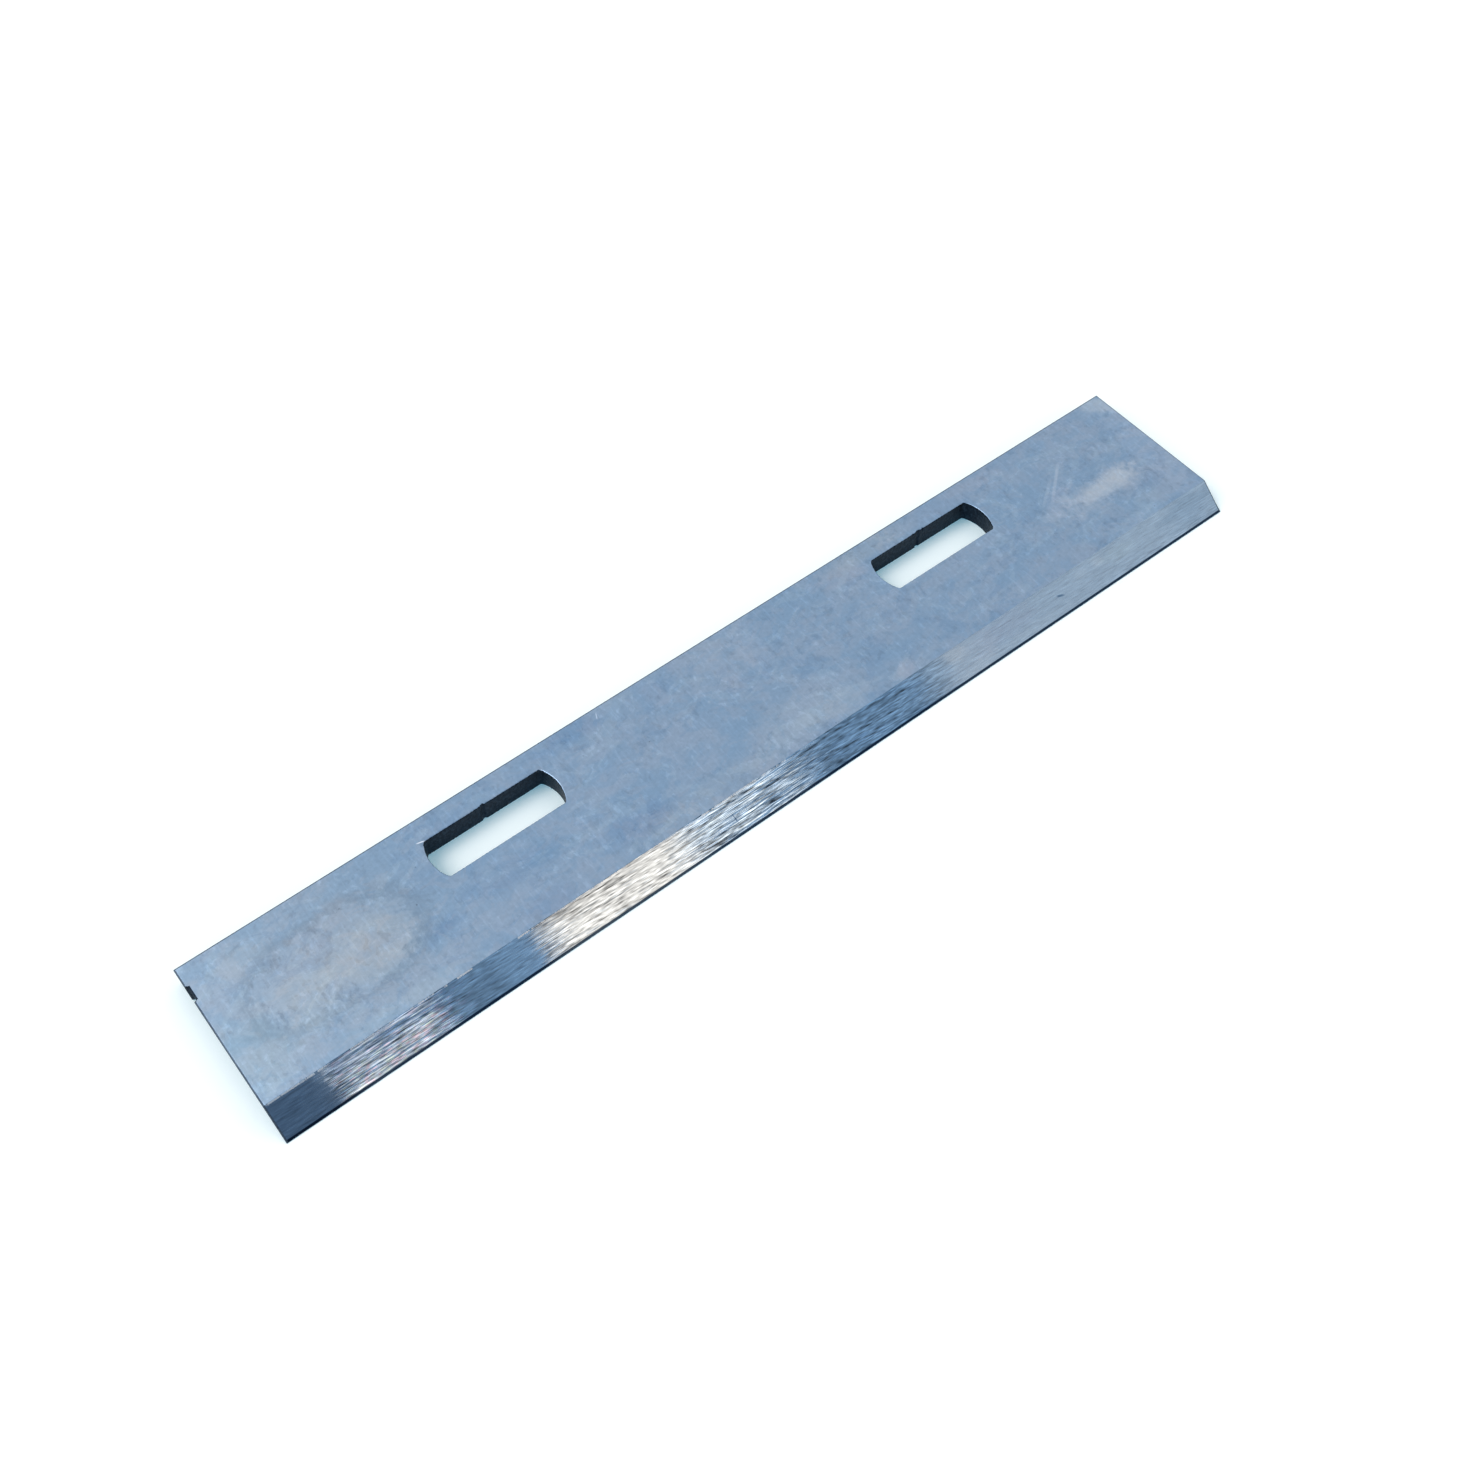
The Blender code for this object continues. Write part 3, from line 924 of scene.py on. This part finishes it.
    def unevenness(self, height_share: np.ndarray, nodes: np.ndarray, along: np.ndarray,
                   length: float) -> np.ndarray:
        """How far the wall stands back at each node, by height.

        It is the start mark, a flat-bottomed notch in the middle of the back wall, and a wandering
        sum of sines round the slot, which is stronger near the rims. Beside the mark the peaks of a
        finer sum chip the wall too, by the sixth power of the height.

        Args:
            height_share: Column of heights, 0 at the underside and 1 at the top.
            nodes: Outline nodes in plan.
            along: Their places along the outline.
            length: The outline's length.

        Returns:
            Array of heights by nodes.
        """
        places = np.broadcast_to(along, (len(height_share), len(nodes)))
        coarse = wandering(places + height_share * self.drift[0], length, range(5, 60, 6), self.seed)
        fine = wandering(places + height_share * self.drift[1], length, range(70, 240, 13), self.seed + 1)
        near_rim = 0.45 + 0.55 * np.abs(2.0 * height_share - 1.0) ** 2
        rough = self.roughness * (0.4 * coarse + 0.8 * fine) * near_rim
        off_middle = np.abs(nodes[:, 0] - self.centre[0])
        on_back = nodes[:, 1] > self.centre[1]
        mark = self.mark_depth * smooth_step(off_middle, self.mark_width / 2, self.mark_width / 4) * on_back
        peaks = np.clip(wandering(places, length, range(75, 150, 11), self.seed + 2), 0.0, None)
        beside = smooth_step(off_middle, *self.chipped) * on_back
        return rough + mark[None, :] + self.chipping * peaks * beside[None, :] * height_share ** 6


@dataclass
class KnifeBlank:
    """The knife: a flat plate with a bevelled cutting edge, two slots and a notch in its left end.

    Attributes:
        low: Lowest corner of the CAD model's box.
        high: Highest corner of the CAD model's box.
        slots: The two slots.
        bevel_angle: Between the bevel and the underside.
        edge_land: Height of the narrow land at the cutting edge.
        arris: Size of the rounding along the back and the ends.
        crease: Half width of the rounding between the top and the bevel.
        notch_from: Where the notch in the left end starts, in Y.
        notch_to: Where it ends.
        notch_depth: How deep it is.
        notch_shoulder: Half width of its shoulders.
        notch_fade: How far from the end the surfaces give way to it.
        notch_margin: How far its dark finish, partly painted shade, reaches past it.
        nick: Depth of the deepest nicks of the cutting edge.
        waver: How far the cutting edge wavers.
        nick_reach: How far from the cutting edge the nicks fade out.
        nick_seed: Seed of the nicks.
        column_steps: Spacing of the plan grid's columns, away from the slots and along them.
        row_steps: Spacing of its rows on the bevel, before the slots, along them and behind them.
        wall_rows: Heights of the rows on a slot's wall, as shares of it.
        flat_rows: Places of the rows from a slot's rim to its block's border, as shares of the way.
        name: Name of its piece.
        surface: The patches of its skin.
    """

    low: Vector
    high: Vector
    slots: tuple[SlotOpening, SlotOpening]
    bevel_angle: float = math.radians(39.6)
    edge_land: float = 0.0001
    arris: float = 0.00020
    crease: float = 0.00004
    notch_from: float = 0.00675
    notch_to: float = 0.00875
    notch_depth: float = 0.0003
    notch_shoulder: float = 0.00003
    notch_fade: float = 0.002
    notch_margin: float = 0.00012
    nick: float = 0.00005
    waver: float = 0.000006
    nick_reach: float = 0.0003
    nick_seed: int = 41
    column_steps: Span = (0.00040, 0.00013)
    row_steps: tuple[float, float, float, float] = (0.0007, 0.0008, 0.00034, 0.0006)
    wall_rows: tuple[float, ...] = (0.06, 0.2, 0.35, 0.5, 0.65, 0.8, 0.94)
    flat_rows: tuple[float, ...] = (0.10, 0.3, 0.6, 1.0)
    name: str = "planer_knife_steel"
    surface: Surface = field(default_factory=Surface)

    @property
    def thickness(self) -> float:
        """Height of the plate."""
        return self.high.z - self.low.z

    @property
    def bevel_start(self) -> float:
        """Y of the line where the flat top turns into the bevel."""
        return self.low.y + (self.thickness - self.edge_land) / math.tan(self.bevel_angle)

    def rounding(self) -> np.ndarray:
        """Distances from an edge at which the rounding's rows lie: a quarter circle in equal angles."""
        return np.concatenate([self.arris * (1.0 - np.cos(QUARTER_TURN)), [self.arris + 0.00006]])

    def columns(self) -> np.ndarray:
        """X of the plan grid's columns, closer together at the ends and along the slots."""
        coarse, fine = self.column_steps
        rows = self.rounding()
        runs = [self.low.x + rows, self.high.x - rows]
        start = self.low.x + rows[-1]
        for slot in self.slots:
            left, _, right, _ = slot.block
            middle = slot.centre[0]
            runs += [even_nodes(start, left, coarse), even_nodes(left, middle, fine),
                     even_nodes(middle, right, fine)]
            start = right
        runs.append(even_nodes(start, self.high.x - rows[-1], coarse))
        return merged_nodes(*runs)

    def rows(self) -> np.ndarray:
        """Y of the plan grid's rows, closer together at the edge, the crease, the notch and the back."""
        on_bevel, before, beside, behind = self.row_steps
        _, front, _, back = self.slots[0].block
        crease = self.bevel_start + self.crease * np.array([-3.0, -1.5, -0.75, 0.0, 0.75, 1.5, 3.0])
        edge = self.low.y + np.array([0.0, 0.00003, 0.00008, 0.00018, 0.0004])
        rounding = self.rounding()
        notch = np.array([-0.00012, -0.00004, 0.00004, 0.00012])
        return merged_nodes(
            edge, even_nodes(edge[-1], crease[0], on_bevel), crease, even_nodes(crease[-1], front, before),
            even_nodes(front, back, beside), self.notch_from + notch, self.notch_to + notch,
            even_nodes(back, self.high.y - rounding[-1], behind), self.high.y - rounding)

    def top_height(self, x: np.ndarray, y: np.ndarray) -> np.ndarray:
        """Height of the upper surface: the flat top, less the bevel's fall and the rounded arrises.

        The fall is the bevel's slope times how far the point lies before the bevel's start, with a
        parabola over the crease.

        Args:
            x: Plan places along the knife.
            y: Plan places across it.

        Returns:
            The heights.
        """
        before = self.bevel_start - y
        curve = (before + self.crease) ** 2 / (4 * self.crease)
        eased = np.where(before > self.crease, before, np.where(before < -self.crease, 0.0, curve))
        height = self.high.z - math.tan(self.bevel_angle) * eased
        return height - self.taken_off(x, y, height - self.low.z)

    def bottom_height(self, x: np.ndarray, y: np.ndarray) -> np.ndarray:
        """Height of the underside: flat, with the back and the ends rounded as on top.

        Args:
            x: Plan places along the knife.
            y: Plan places across it.

        Returns:
            The heights.
        """
        before = np.clip(self.bevel_start - y, 0.0, None)
        left = self.thickness - math.tan(self.bevel_angle) * before
        return self.low.z + self.taken_off(x, y, left)

    def taken_off(self, x: np.ndarray, y: np.ndarray, left: np.ndarray) -> np.ndarray:
        """What the arris rounding takes off: r minus the root of r^2 minus (r - d)^2 at distance d.

        It shrinks with the height that is left, where that is under four times the rounding.

        Args:
            x: Plan places along the knife.
            y: Plan places across it.
            left: Height of the plate there.

        Returns:
            The heights to take off.
        """
        to_edge = np.minimum(np.minimum(x - self.low.x, self.high.x - x), self.high.y - y)
        inside = np.clip(self.arris - to_edge, 0.0, self.arris)
        taken = self.arris - np.sqrt(np.clip(self.arris ** 2 - inside ** 2, 0.0, None))
        return taken * np.clip(left / (4 * self.arris), 0.15, 1.0)

    def warped(self, x: np.ndarray, y: np.ndarray) -> tuple[np.ndarray, np.ndarray]:
        """Plan places after the notch and the small nicks of the cutting edge push them inwards.

        The notch moves the left end's points right by its depth between its two shoulders, fading
        out with the distance from the end. The nicks move the edge's points back where a wandering
        line peaks, fading out with the distance from the edge.

        Args:
            x: Plan places along the knife.
            y: Plan places across it.

        Returns:
            The moved places.
        """
        within = smooth_step(y, self.notch_from - self.notch_shoulder, self.notch_from + self.notch_shoulder)
        within = within * smooth_step(
            y, self.notch_to + self.notch_shoulder, self.notch_to - self.notch_shoulder)
        fade = np.clip(1.0 - (x - self.low.x) / self.notch_fade, 0.0, 1.0)
        peaks = wandering(x - self.low.x, self.high.x - self.low.x, range(23, 320, 17), self.nick_seed)
        nicks = self.nick * smooth_step(peaks, 1.15, 1.9) + self.waver * (1.0 + peaks)
        near_edge = np.clip(1.0 - (y - self.low.y) / self.nick_reach, 0.0, 1.0)
        return x + self.notch_depth * within * fade, y + np.clip(nicks, 0.0, None) * near_edge

    def skin(self, x: np.ndarray, y: np.ndarray, height: Callable[..., np.ndarray]) -> np.ndarray:
        """Points of the upper or lower surface over plan places.

        Args:
            x: Plan places along the knife.
            y: Plan places across it.
            height: Gives the surface's heights.

        Returns:
            Array of the places by 3.
        """
        moved_x, moved_y = self.warped(x, y)
        lift = height(x, y) + (height(x, moved_y) - height(x, y)) * (y < self.bevel_start)
        return np.stack([moved_x, moved_y, lift], axis=-1)

    def in_notch(self, y: np.ndarray) -> np.ndarray:
        """True for the places across the knife that the notch's dark finish covers."""
        return (y > self.notch_from - self.notch_margin) & (y < self.notch_to + self.notch_margin)

    def plan_zones(self, mid_x: np.ndarray, mid_y: np.ndarray, on_top: bool) -> np.ndarray:
        """Zone of each cell of the plan grid.

        Args:
            mid_x: Middles of the cells along the knife.
            mid_y: Middles of the cells across it.
            on_top: True for the upper surface.

        Returns:
            Array of cells.
        """
        zones = np.full(mid_x.shape, Zone.GROUND_FACE.value)
        if on_top:
            zones[mid_y < self.bevel_start] = Zone.BEVEL.value
        near = np.minimum(np.minimum(mid_x - self.low.x, self.high.x - mid_x), self.high.y - mid_y)
        # The rounded arrises along the back and ends take the dark edge finish: a painted dark outline of
        # shade.
        zones[near < self.arris] = Zone.EDGE_FACE.value
        # The notch's rim takes the slot walls' dark finish, a margin past the notch: partly cut scale,
        # partly painted shade that keeps the notch black and darkens its shoulders' reflection.
        zones[self.in_notch(mid_y) & (mid_x - self.low.x < 1.2 * self.arris)] = Zone.SLOT_WALL.value
        return zones

    def build_faces(self) -> None:
        """Lay the upper and the lower surface, open at the slots' blocks."""
        x, y = self.columns(), self.rows()
        plan_x, plan_y = np.meshgrid(x, y)
        mid_x, mid_y = cell_middles(x, y)
        kept = np.ones(mid_x.shape, bool)
        for slot in self.slots:
            left, front, right, back = slot.block
            kept &= ~((mid_x > left) & (mid_x < right) & (mid_y > front) & (mid_y < back))
        for height, on_top in ((self.top_height, True), (self.bottom_height, False)):
            self.surface.add_grid(self.skin(plan_x, plan_y, height), self.plan_zones(mid_x, mid_y, on_top),
                                  turned=not on_top, kept=kept)

    def build_outer_wall(self) -> None:
        """Close the knife round the outside, between the borders of the two surfaces."""
        x, y = self.columns(), self.rows()
        around_x = np.concatenate([x, np.full(len(y) - 1, x[-1]), x[::-1][1:], np.full(len(y) - 1, x[0])])
        around_y = np.concatenate([np.full(len(x), y[0]), y[1:], np.full(len(x) - 1, y[-1]), y[::-1][1:]])
        top = self.skin(around_x, around_y, self.top_height)
        bottom = self.skin(around_x, around_y, self.bottom_height)
        shares = np.array([0.0, 0.04, 0.35, 0.65, 0.96, 1.0])[:, None, None]
        zones = np.full(len(around_x) - 1, Zone.EDGE_FACE.value)
        zones[:len(x) - 1] = Zone.BEVEL.value
        mid_x, mid_y = (around_x[1:] + around_x[:-1]) / 2, (around_y[1:] + around_y[:-1]) / 2
        zones[(mid_x < 0) & self.in_notch(mid_y)] = Zone.SLOT_WALL.value
        self.surface.add_grid(bottom + (top - bottom) * shares, zones)

    def build_slot(self, slot: SlotOpening) -> None:
        """Carry the rim and wall profile round a slot, and spread it to the slot's block on both faces.

        Going up, the profile is the block's border on the underside, the flat, the lower rim's quarter
        circle, the wall, the upper rim, the flat and the block's border on top.

        Args:
            slot: The slot.
        """
        x, y = self.columns(), self.rows()
        left, front, right, back = slot.block
        x = x[(x > left - SAME_PLACE) & (x < right + SAME_PLACE)]
        y = y[(y > front - SAME_PLACE) & (y < back + SAME_PLACE)]
        border = np.concatenate([
            np.stack([x[:-1], np.full(len(x) - 1, y[0])], 1),
            np.stack([np.full(len(y) - 1, x[-1]), y[:-1]], 1),
            np.stack([x[:0:-1], np.full(len(x) - 1, y[-1])], 1),
            np.stack([np.full(len(y) - 1, x[0]), y[:0:-1]], 1)])
        share_x, share_y = ((side - side[0]) / (side[-1] - side[0]) for side in (x, y))
        nodes, outward, along, length = slot.loop(
            [share_x[:-1], share_y[:-1], 1.0 - share_x[:0:-1], 1.0 - share_y[:0:-1]])

        rim = slot.rim_break
        wall_z = self.low.z + rim + (self.thickness - 2 * rim) * np.array(self.wall_rows)
        offsets = np.concatenate([
            rim * (1 - np.cos(QUARTER_TURN[::-1])), np.zeros(len(wall_z)), rim * (1 - np.cos(QUARTER_TURN))])
        heights = np.concatenate([
            self.low.z + rim * (1 - np.sin(QUARTER_TURN[::-1])), wall_z,
            self.high.z - rim * (1 - np.sin(QUARTER_TURN))])
        uneven = slot.unevenness(((heights - self.low.z) / self.thickness)[:, None], nodes, along, length)
        plan = nodes[None] + outward[None] * (offsets[:, None] + uneven)[..., None]
        levels = np.broadcast_to(heights[:, None, None], (*plan.shape[:2], 1))
        middle = np.concatenate([plan, levels], axis=-1)

        def fan(edge: np.ndarray, height: float) -> np.ndarray:
            """Rows from the rim's outer row to the block's border, straight in between."""
            flat = edge[None] + (border - edge)[None] * np.array(self.flat_rows)[:, None, None]
            return np.concatenate([flat, np.full((*flat.shape[:2], 1), height)], axis=-1)

        profile = np.concatenate([
            fan(middle[0, :, :2], self.low.z)[::-1], middle, fan(middle[-1, :, :2], self.high.z)])
        profile = np.concatenate([profile, profile[:, :1]], axis=1)
        half_rim = len(QUARTER_TURN) // 2
        flat, wall = len(self.flat_rows) + half_rim, len(wall_z) + 1 + 2 * half_rim
        zones = np.repeat([Zone.GROUND_FACE.value, Zone.SLOT_WALL.value, Zone.GROUND_FACE.value],
                          [flat, wall, flat])[:, None]
        self.surface.add_grid(profile, zones, turned=True)

    def build(self) -> bpy.types.Object:
        """Build the whole knife and dress it.

        Returns:
            The knife's object.
        """
        self.build_faces()
        self.build_outer_wall()
        for slot in self.slots:
            self.build_slot(slot)
        knife = self.surface.object(self.name)
        for zone in Zone:
            knife.data.materials.append(FINISHES[zone].material())
        knife.data.set_sharp_from_angle(angle=SHARP_ANGLE)
        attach(knife, "root")
        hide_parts(KNIFE_NODE)
        return knife


# Studio

@dataclass(frozen=True)
class PhotoCamera:
    """Camera at the place from which the knife was photographed.

    Attributes:
        position: Its place.
        right: Where the picture's right side points.
        up: Where the picture's top points.
        lens: Focal length in millimetres.
        sensor: Width of the sensor in millimetres.
        clip: Nearest and furthest distance that it sees.
    """

    position: Point = (-0.0687042, -0.0912981, 0.1648093)
    right: Point = (0.7885048, -0.6148301, -0.0156245)
    up: Point = (0.5153007, 0.6465659, 0.5625103)
    lens: float = 41.431
    sensor: float = 36.0
    clip: Span = (0.005, 50.0)

    def build(self) -> bpy.types.Object:
        """Put the camera into the scene.

        Returns:
            The camera's object.
        """
        data = bpy.data.cameras.new("photo_camera")
        data.lens = self.lens
        data.sensor_width = self.sensor
        data.clip_start, data.clip_end = self.clip
        camera = bpy.data.objects.new("photo_camera", data)
        bpy.context.scene.collection.objects.link(camera)
        right = Vector(self.right).normalized()
        back = right.cross(Vector(self.up)).normalized()
        turn = Matrix((right, back.cross(right), back)).transposed().to_4x4()
        camera.matrix_world = Matrix.Translation(self.position) @ turn
        bpy.context.scene.camera = camera
        return camera


@dataclass(frozen=True)
class SoftLight:
    """A square soft box that faces the knife.

    Attributes:
        name: What it is called.
        position: Its middle.
        size: Its width and height.
        radiance: How bright its face is, where 1 lights as a white card does.
    """

    name: str = "back_soft_box"
    position: Point = (-0.770, 0.539, 1.294)
    size: float = 0.9
    radiance: float = 4.0

    def build(self) -> bpy.types.Object:
        """Put the light into the scene. Its power is radiance times area times pi.

        Returns:
            The light's object.
        """
        data = bpy.data.lights.new(self.name, "AREA")
        data.size = self.size
        data.energy = self.radiance * self.size * self.size * math.pi
        light = bpy.data.objects.new(self.name, data)
        bpy.context.scene.collection.objects.link(light)
        light.visible_camera = False
        turn = Vector(self.position).to_track_quat("Z", "Y").to_matrix().to_4x4()
        light.matrix_world = Matrix.Translation(self.position) @ turn
        return light


@dataclass(frozen=True)
class BounceCard:
    """A lit card far away in the room, placed by where the bevel mirrors it to the camera.

    Directions are given by their side angle from the plane square to the bevel, and by their pitch
    within that plane. Grooves that run along the bevel change the pitch alone.

    Attributes:
        start: Place along the bevel where its left border is mirrored.
        stop: Place where its right border is mirrored.
        taper: Place from which its height shrinks towards the right border.
        middle: Pitch of its middle line, in degrees.
        half: Half its height, in degrees.
        light: Its radiance.
        blur: Width of its soft borders, in degrees.
    """

    start: float
    stop: float
    taper: float
    middle: float
    half: float
    light: Colour
    blur: float

    def mask(self, side: Wire, pitch: Wire, side_at: Callable[[float], float]) -> Wire:
        """The card's shape: its half height falls in a straight line from the taper to the right border.

        Args:
            side: Direction's side angle, in degrees.
            pitch: Direction's pitch, in degrees.
            side_at: Gives the side angle that is mirrored at a place along the bevel.

        Returns:
            The wire that is 1 on the card and 0 elsewhere.
        """
        left, narrowing, right = (side_at(place) for place in (self.start, self.taper, self.stop))
        shrunk = ((side - narrowing) / max(right - narrowing, 0.01)).most(0.0).least(1.0)
        over = abs(pitch - self.middle) - self.half * (1.0 - shrunk)
        return over.rise(self.blur, -self.blur) * side.band(left, right, self.blur)


@dataclass(frozen=True)
class Studio:
    """Pale floor and even surroundings with lit cards in a darker front.

    Attributes:
        eye: Where the camera is.
        bevel_y: Y of the bevel's middle line.
        bevel_z: Height of the bevel's middle line.
        bevel_tilt: Angle between the bevel and the floor.
        floor_colour: What the floor's card lights the knife with.
        seen_floor: The card as the camera and the steel see it.
        floor_glow: What is added there, so that the open floor is white.
        floor_half: Half the floor's width.
        floor_gap: How far the floor lies below the knife.
        floor_far: Distances, in millimetres, from which and at which the camera sees it plain white.
        room: Radiance of the surroundings.
        front: Radiance of the dark front of the room.
        front_left: The same, where the bevel's left end mirrors it.
        front_side: Side angles between which the dark front sets in at the left.
        front_pitch: Pitches between which it sets in above the horizon.
        front_stop: Place along the bevel where its right border is mirrored.
        left_stop: Place where the border of its left part is mirrored.
        borders: Half widths of those two borders, in degrees.
        behind: Y of the directions between which the dark front gives way towards the back.
        cards: The lit cards in front.
    """

    eye: Point
    bevel_y: float
    bevel_z: float
    bevel_tilt: float
    floor_colour: Colour = (0.78, 0.78, 0.78)
    seen_floor: Colour = (0.98, 0.88, 0.80)
    floor_glow: Colour = (0.04, 0.20, 0.28)
    floor_half: float = 6.0
    floor_gap: float = 0.00001
    floor_far: Span = (250.0, 700.0)
    room: Colour = (0.94, 0.97, 1.00)
    front: Colour = (0.375, 0.515, 0.655)
    front_left: Colour = (0.170, 0.240, 0.330)
    front_side: Span = (-46.0, -22.0)
    front_pitch: Span = (17.0, 27.0)
    front_stop: float = 0.0210
    left_stop: float = -0.0603
    borders: Span = (0.7, 0.25)
    behind: Span = (0.15, -0.15)
    cards: tuple[BounceCard, ...] = (
        BounceCard(-0.0603, -0.0485, -0.0485, 36.9, 2.4, (1.94, 1.62, 1.42), blur=0.4),
        BounceCard(-0.0342, -0.0155, -0.0155, 37.3, 14.0, (2.66, 2.00, 1.52), blur=0.3),
        BounceCard(-0.0155, 0.0025, -0.0060, 37.3, 2.1, (2.62, 2.22, 1.87), blur=0.8),
    )

    def side_at(self, place: float) -> float:
        """Side angle, from the front towards the right, that the bevel mirrors at a place.

        The line of sight v is turned to 2 (n . v) n - v, where n is the bevel's normal.

        Args:
            place: Place along the bevel.

        Returns:
            The side angle in degrees.
        """
        sight = (Vector(self.eye) - Vector((place, self.bevel_y, self.bevel_z))).normalized()
        normal = Vector((0.0, -math.sin(self.bevel_tilt), math.cos(self.bevel_tilt)))
        mirrored = 2.0 * normal.dot(sight) * normal - sight
        return math.degrees(math.asin(mirrored.x))

    def build_world(self) -> bpy.types.World:
        """Surroundings: white to the camera, and a soft pale room with a darker front to the steel.

        Returns:
            The world.
        """
        world = bpy.data.worlds.new("studio")
        bpy.context.scene.world = world
        sheet = NodeSheet(world)
        coordinates = sheet.node("ShaderNodeTexCoord")
        x, y, z = sheet.parts(Wire(sheet, coordinates.outputs["Generated"], is_vector=True))
        side = sheet.number("ARCSINE", x) * (180.0 / math.pi)
        pitch = sheet.number("ARCTAN2", z, 0.0 - y) * (180.0 / math.pi)
        right, left = self.side_at(self.front_stop), self.side_at(self.left_stop)
        wide, narrow = self.borders
        in_front = side.rise(*self.front_side) * side.rise(right + wide, right - wide)
        in_front = in_front * y.rise(*self.behind) * pitch.rise(*self.front_pitch)
        wall = sheet.blend(self.front, self.front_left, side.rise(left + narrow, left - narrow))
        room = sheet.blend(self.room, wall, in_front)
        for card in self.cards:
            room = sheet.blend(room, card.light, card.mask(side, pitch, self.side_at))
        camera_ray = sheet.node("ShaderNodeLightPath").outputs["Is Camera Ray"]
        seen = sheet.blend(room, (1.0, 1.0, 1.0), camera_ray)
        background = sheet.node("ShaderNodeBackground", sockets={"Color": seen, "Strength": 1.0})
        sheet.node("ShaderNodeOutputWorld", sockets={"Surface": background.outputs[0]})
        return world

    def build_floor(self) -> bpy.types.Object:
        """Wide pale floor just under the knife, which glows a little to the camera and is white far off.

        Returns:
            The floor's object.
        """
        surface = Surface()
        reach = even_nodes(-self.floor_half, self.floor_half, 1.0)
        plan_x, plan_y = np.meshgrid(reach, reach)
        plan_z = np.full_like(plan_x, -self.floor_gap)
        surface.add_grid(np.stack([plan_x, plan_y, plan_z], axis=-1), np.array(0))
        floor = surface.object("studio_floor")
        material = bpy.data.materials.new("studio_floor_white")
        sheet = NodeSheet(material)

        def layer(kind: str, **sockets: Any) -> bpy.types.NodeSocket:
            """Output of a shader node with the given sockets."""
            return sheet.node(kind, sockets=sockets).outputs[0]

        def mixed(share: Wire, first: bpy.types.NodeSocket,
                  second: bpy.types.NodeSocket) -> bpy.types.NodeSocket:
            """Output of a Mix Shader node."""
            return sheet.node("ShaderNodeMixShader", sockets={0: share, 1: first, 2: second}).outputs[0]

        card = layer("ShaderNodeBsdfDiffuse", Color=self.floor_colour)
        seen_card = layer("ShaderNodeBsdfDiffuse", Color=self.seen_floor)
        glow = layer("ShaderNodeEmission", Color=self.floor_glow, Strength=1.0)
        white = layer("ShaderNodeEmission", Color=(1.0, 1.0, 1.0), Strength=1.0)
        both = sheet.node("ShaderNodeAddShader", sockets={0: seen_card, 1: glow}).outputs[0]
        light_path = sheet.node("ShaderNodeLightPath")
        camera_ray, glossy_ray = (
            Wire(sheet, light_path.outputs[name]) for name in ("Is Camera Ray", "Is Glossy Ray"))
        x, y, _ = sheet.parts(sheet.place())
        far = ((x * x + y * y) ** 0.5).rise(*self.floor_far) * camera_ray
        ground = mixed(far, mixed(camera_ray.most(glossy_ray), card, both), white)
        sheet.node("ShaderNodeOutputMaterial", sockets={"Surface": ground})
        floor.data.materials.append(material)
        return floor


def corners(box: tuple[Vector, Vector]) -> list[list[float]]:
    """A box's two corners as plain lists."""
    return [[float(part) for part in corner] for corner in box]


def slot_centres() -> list[Span]:
    """Middles of the two slots in plan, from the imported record's openings."""
    boxes = [opening["box_m"] for opening in frame["record"]["physics"]["openings"]]
    return [((low[0] + high[0]) / 2, (low[1] + high[1]) / 2) for low, high in boxes]


def main() -> None:
    """Build the camera, the knife and the studio in order."""
    logging.basicConfig(level=logging.INFO, format="%(message)s")
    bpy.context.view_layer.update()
    low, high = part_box(KNIFE_NODE)

    camera = PhotoCamera()
    log.info("%s is in place", camera.build().name)

    left, right = slot_centres()
    blank = KnifeBlank(low, high, (SlotOpening(left, seed=3), SlotOpening(right, seed=8)))
    knife = blank.build()
    log.info("%s has %d faces", knife.name, len(knife.data.polygons))

    middle = (blank.bevel_start + low.y) / 2
    studio = Studio(camera.position, middle, blank.thickness / 2, blank.bevel_angle)
    studio.build_world()
    log.info("%s is laid", studio.build_floor().name)
    log.info("%s is hung", SoftLight().build().name)

    bpy.context.scene.view_settings.view_transform = "Standard"


if __name__ == "__main__":
    main()
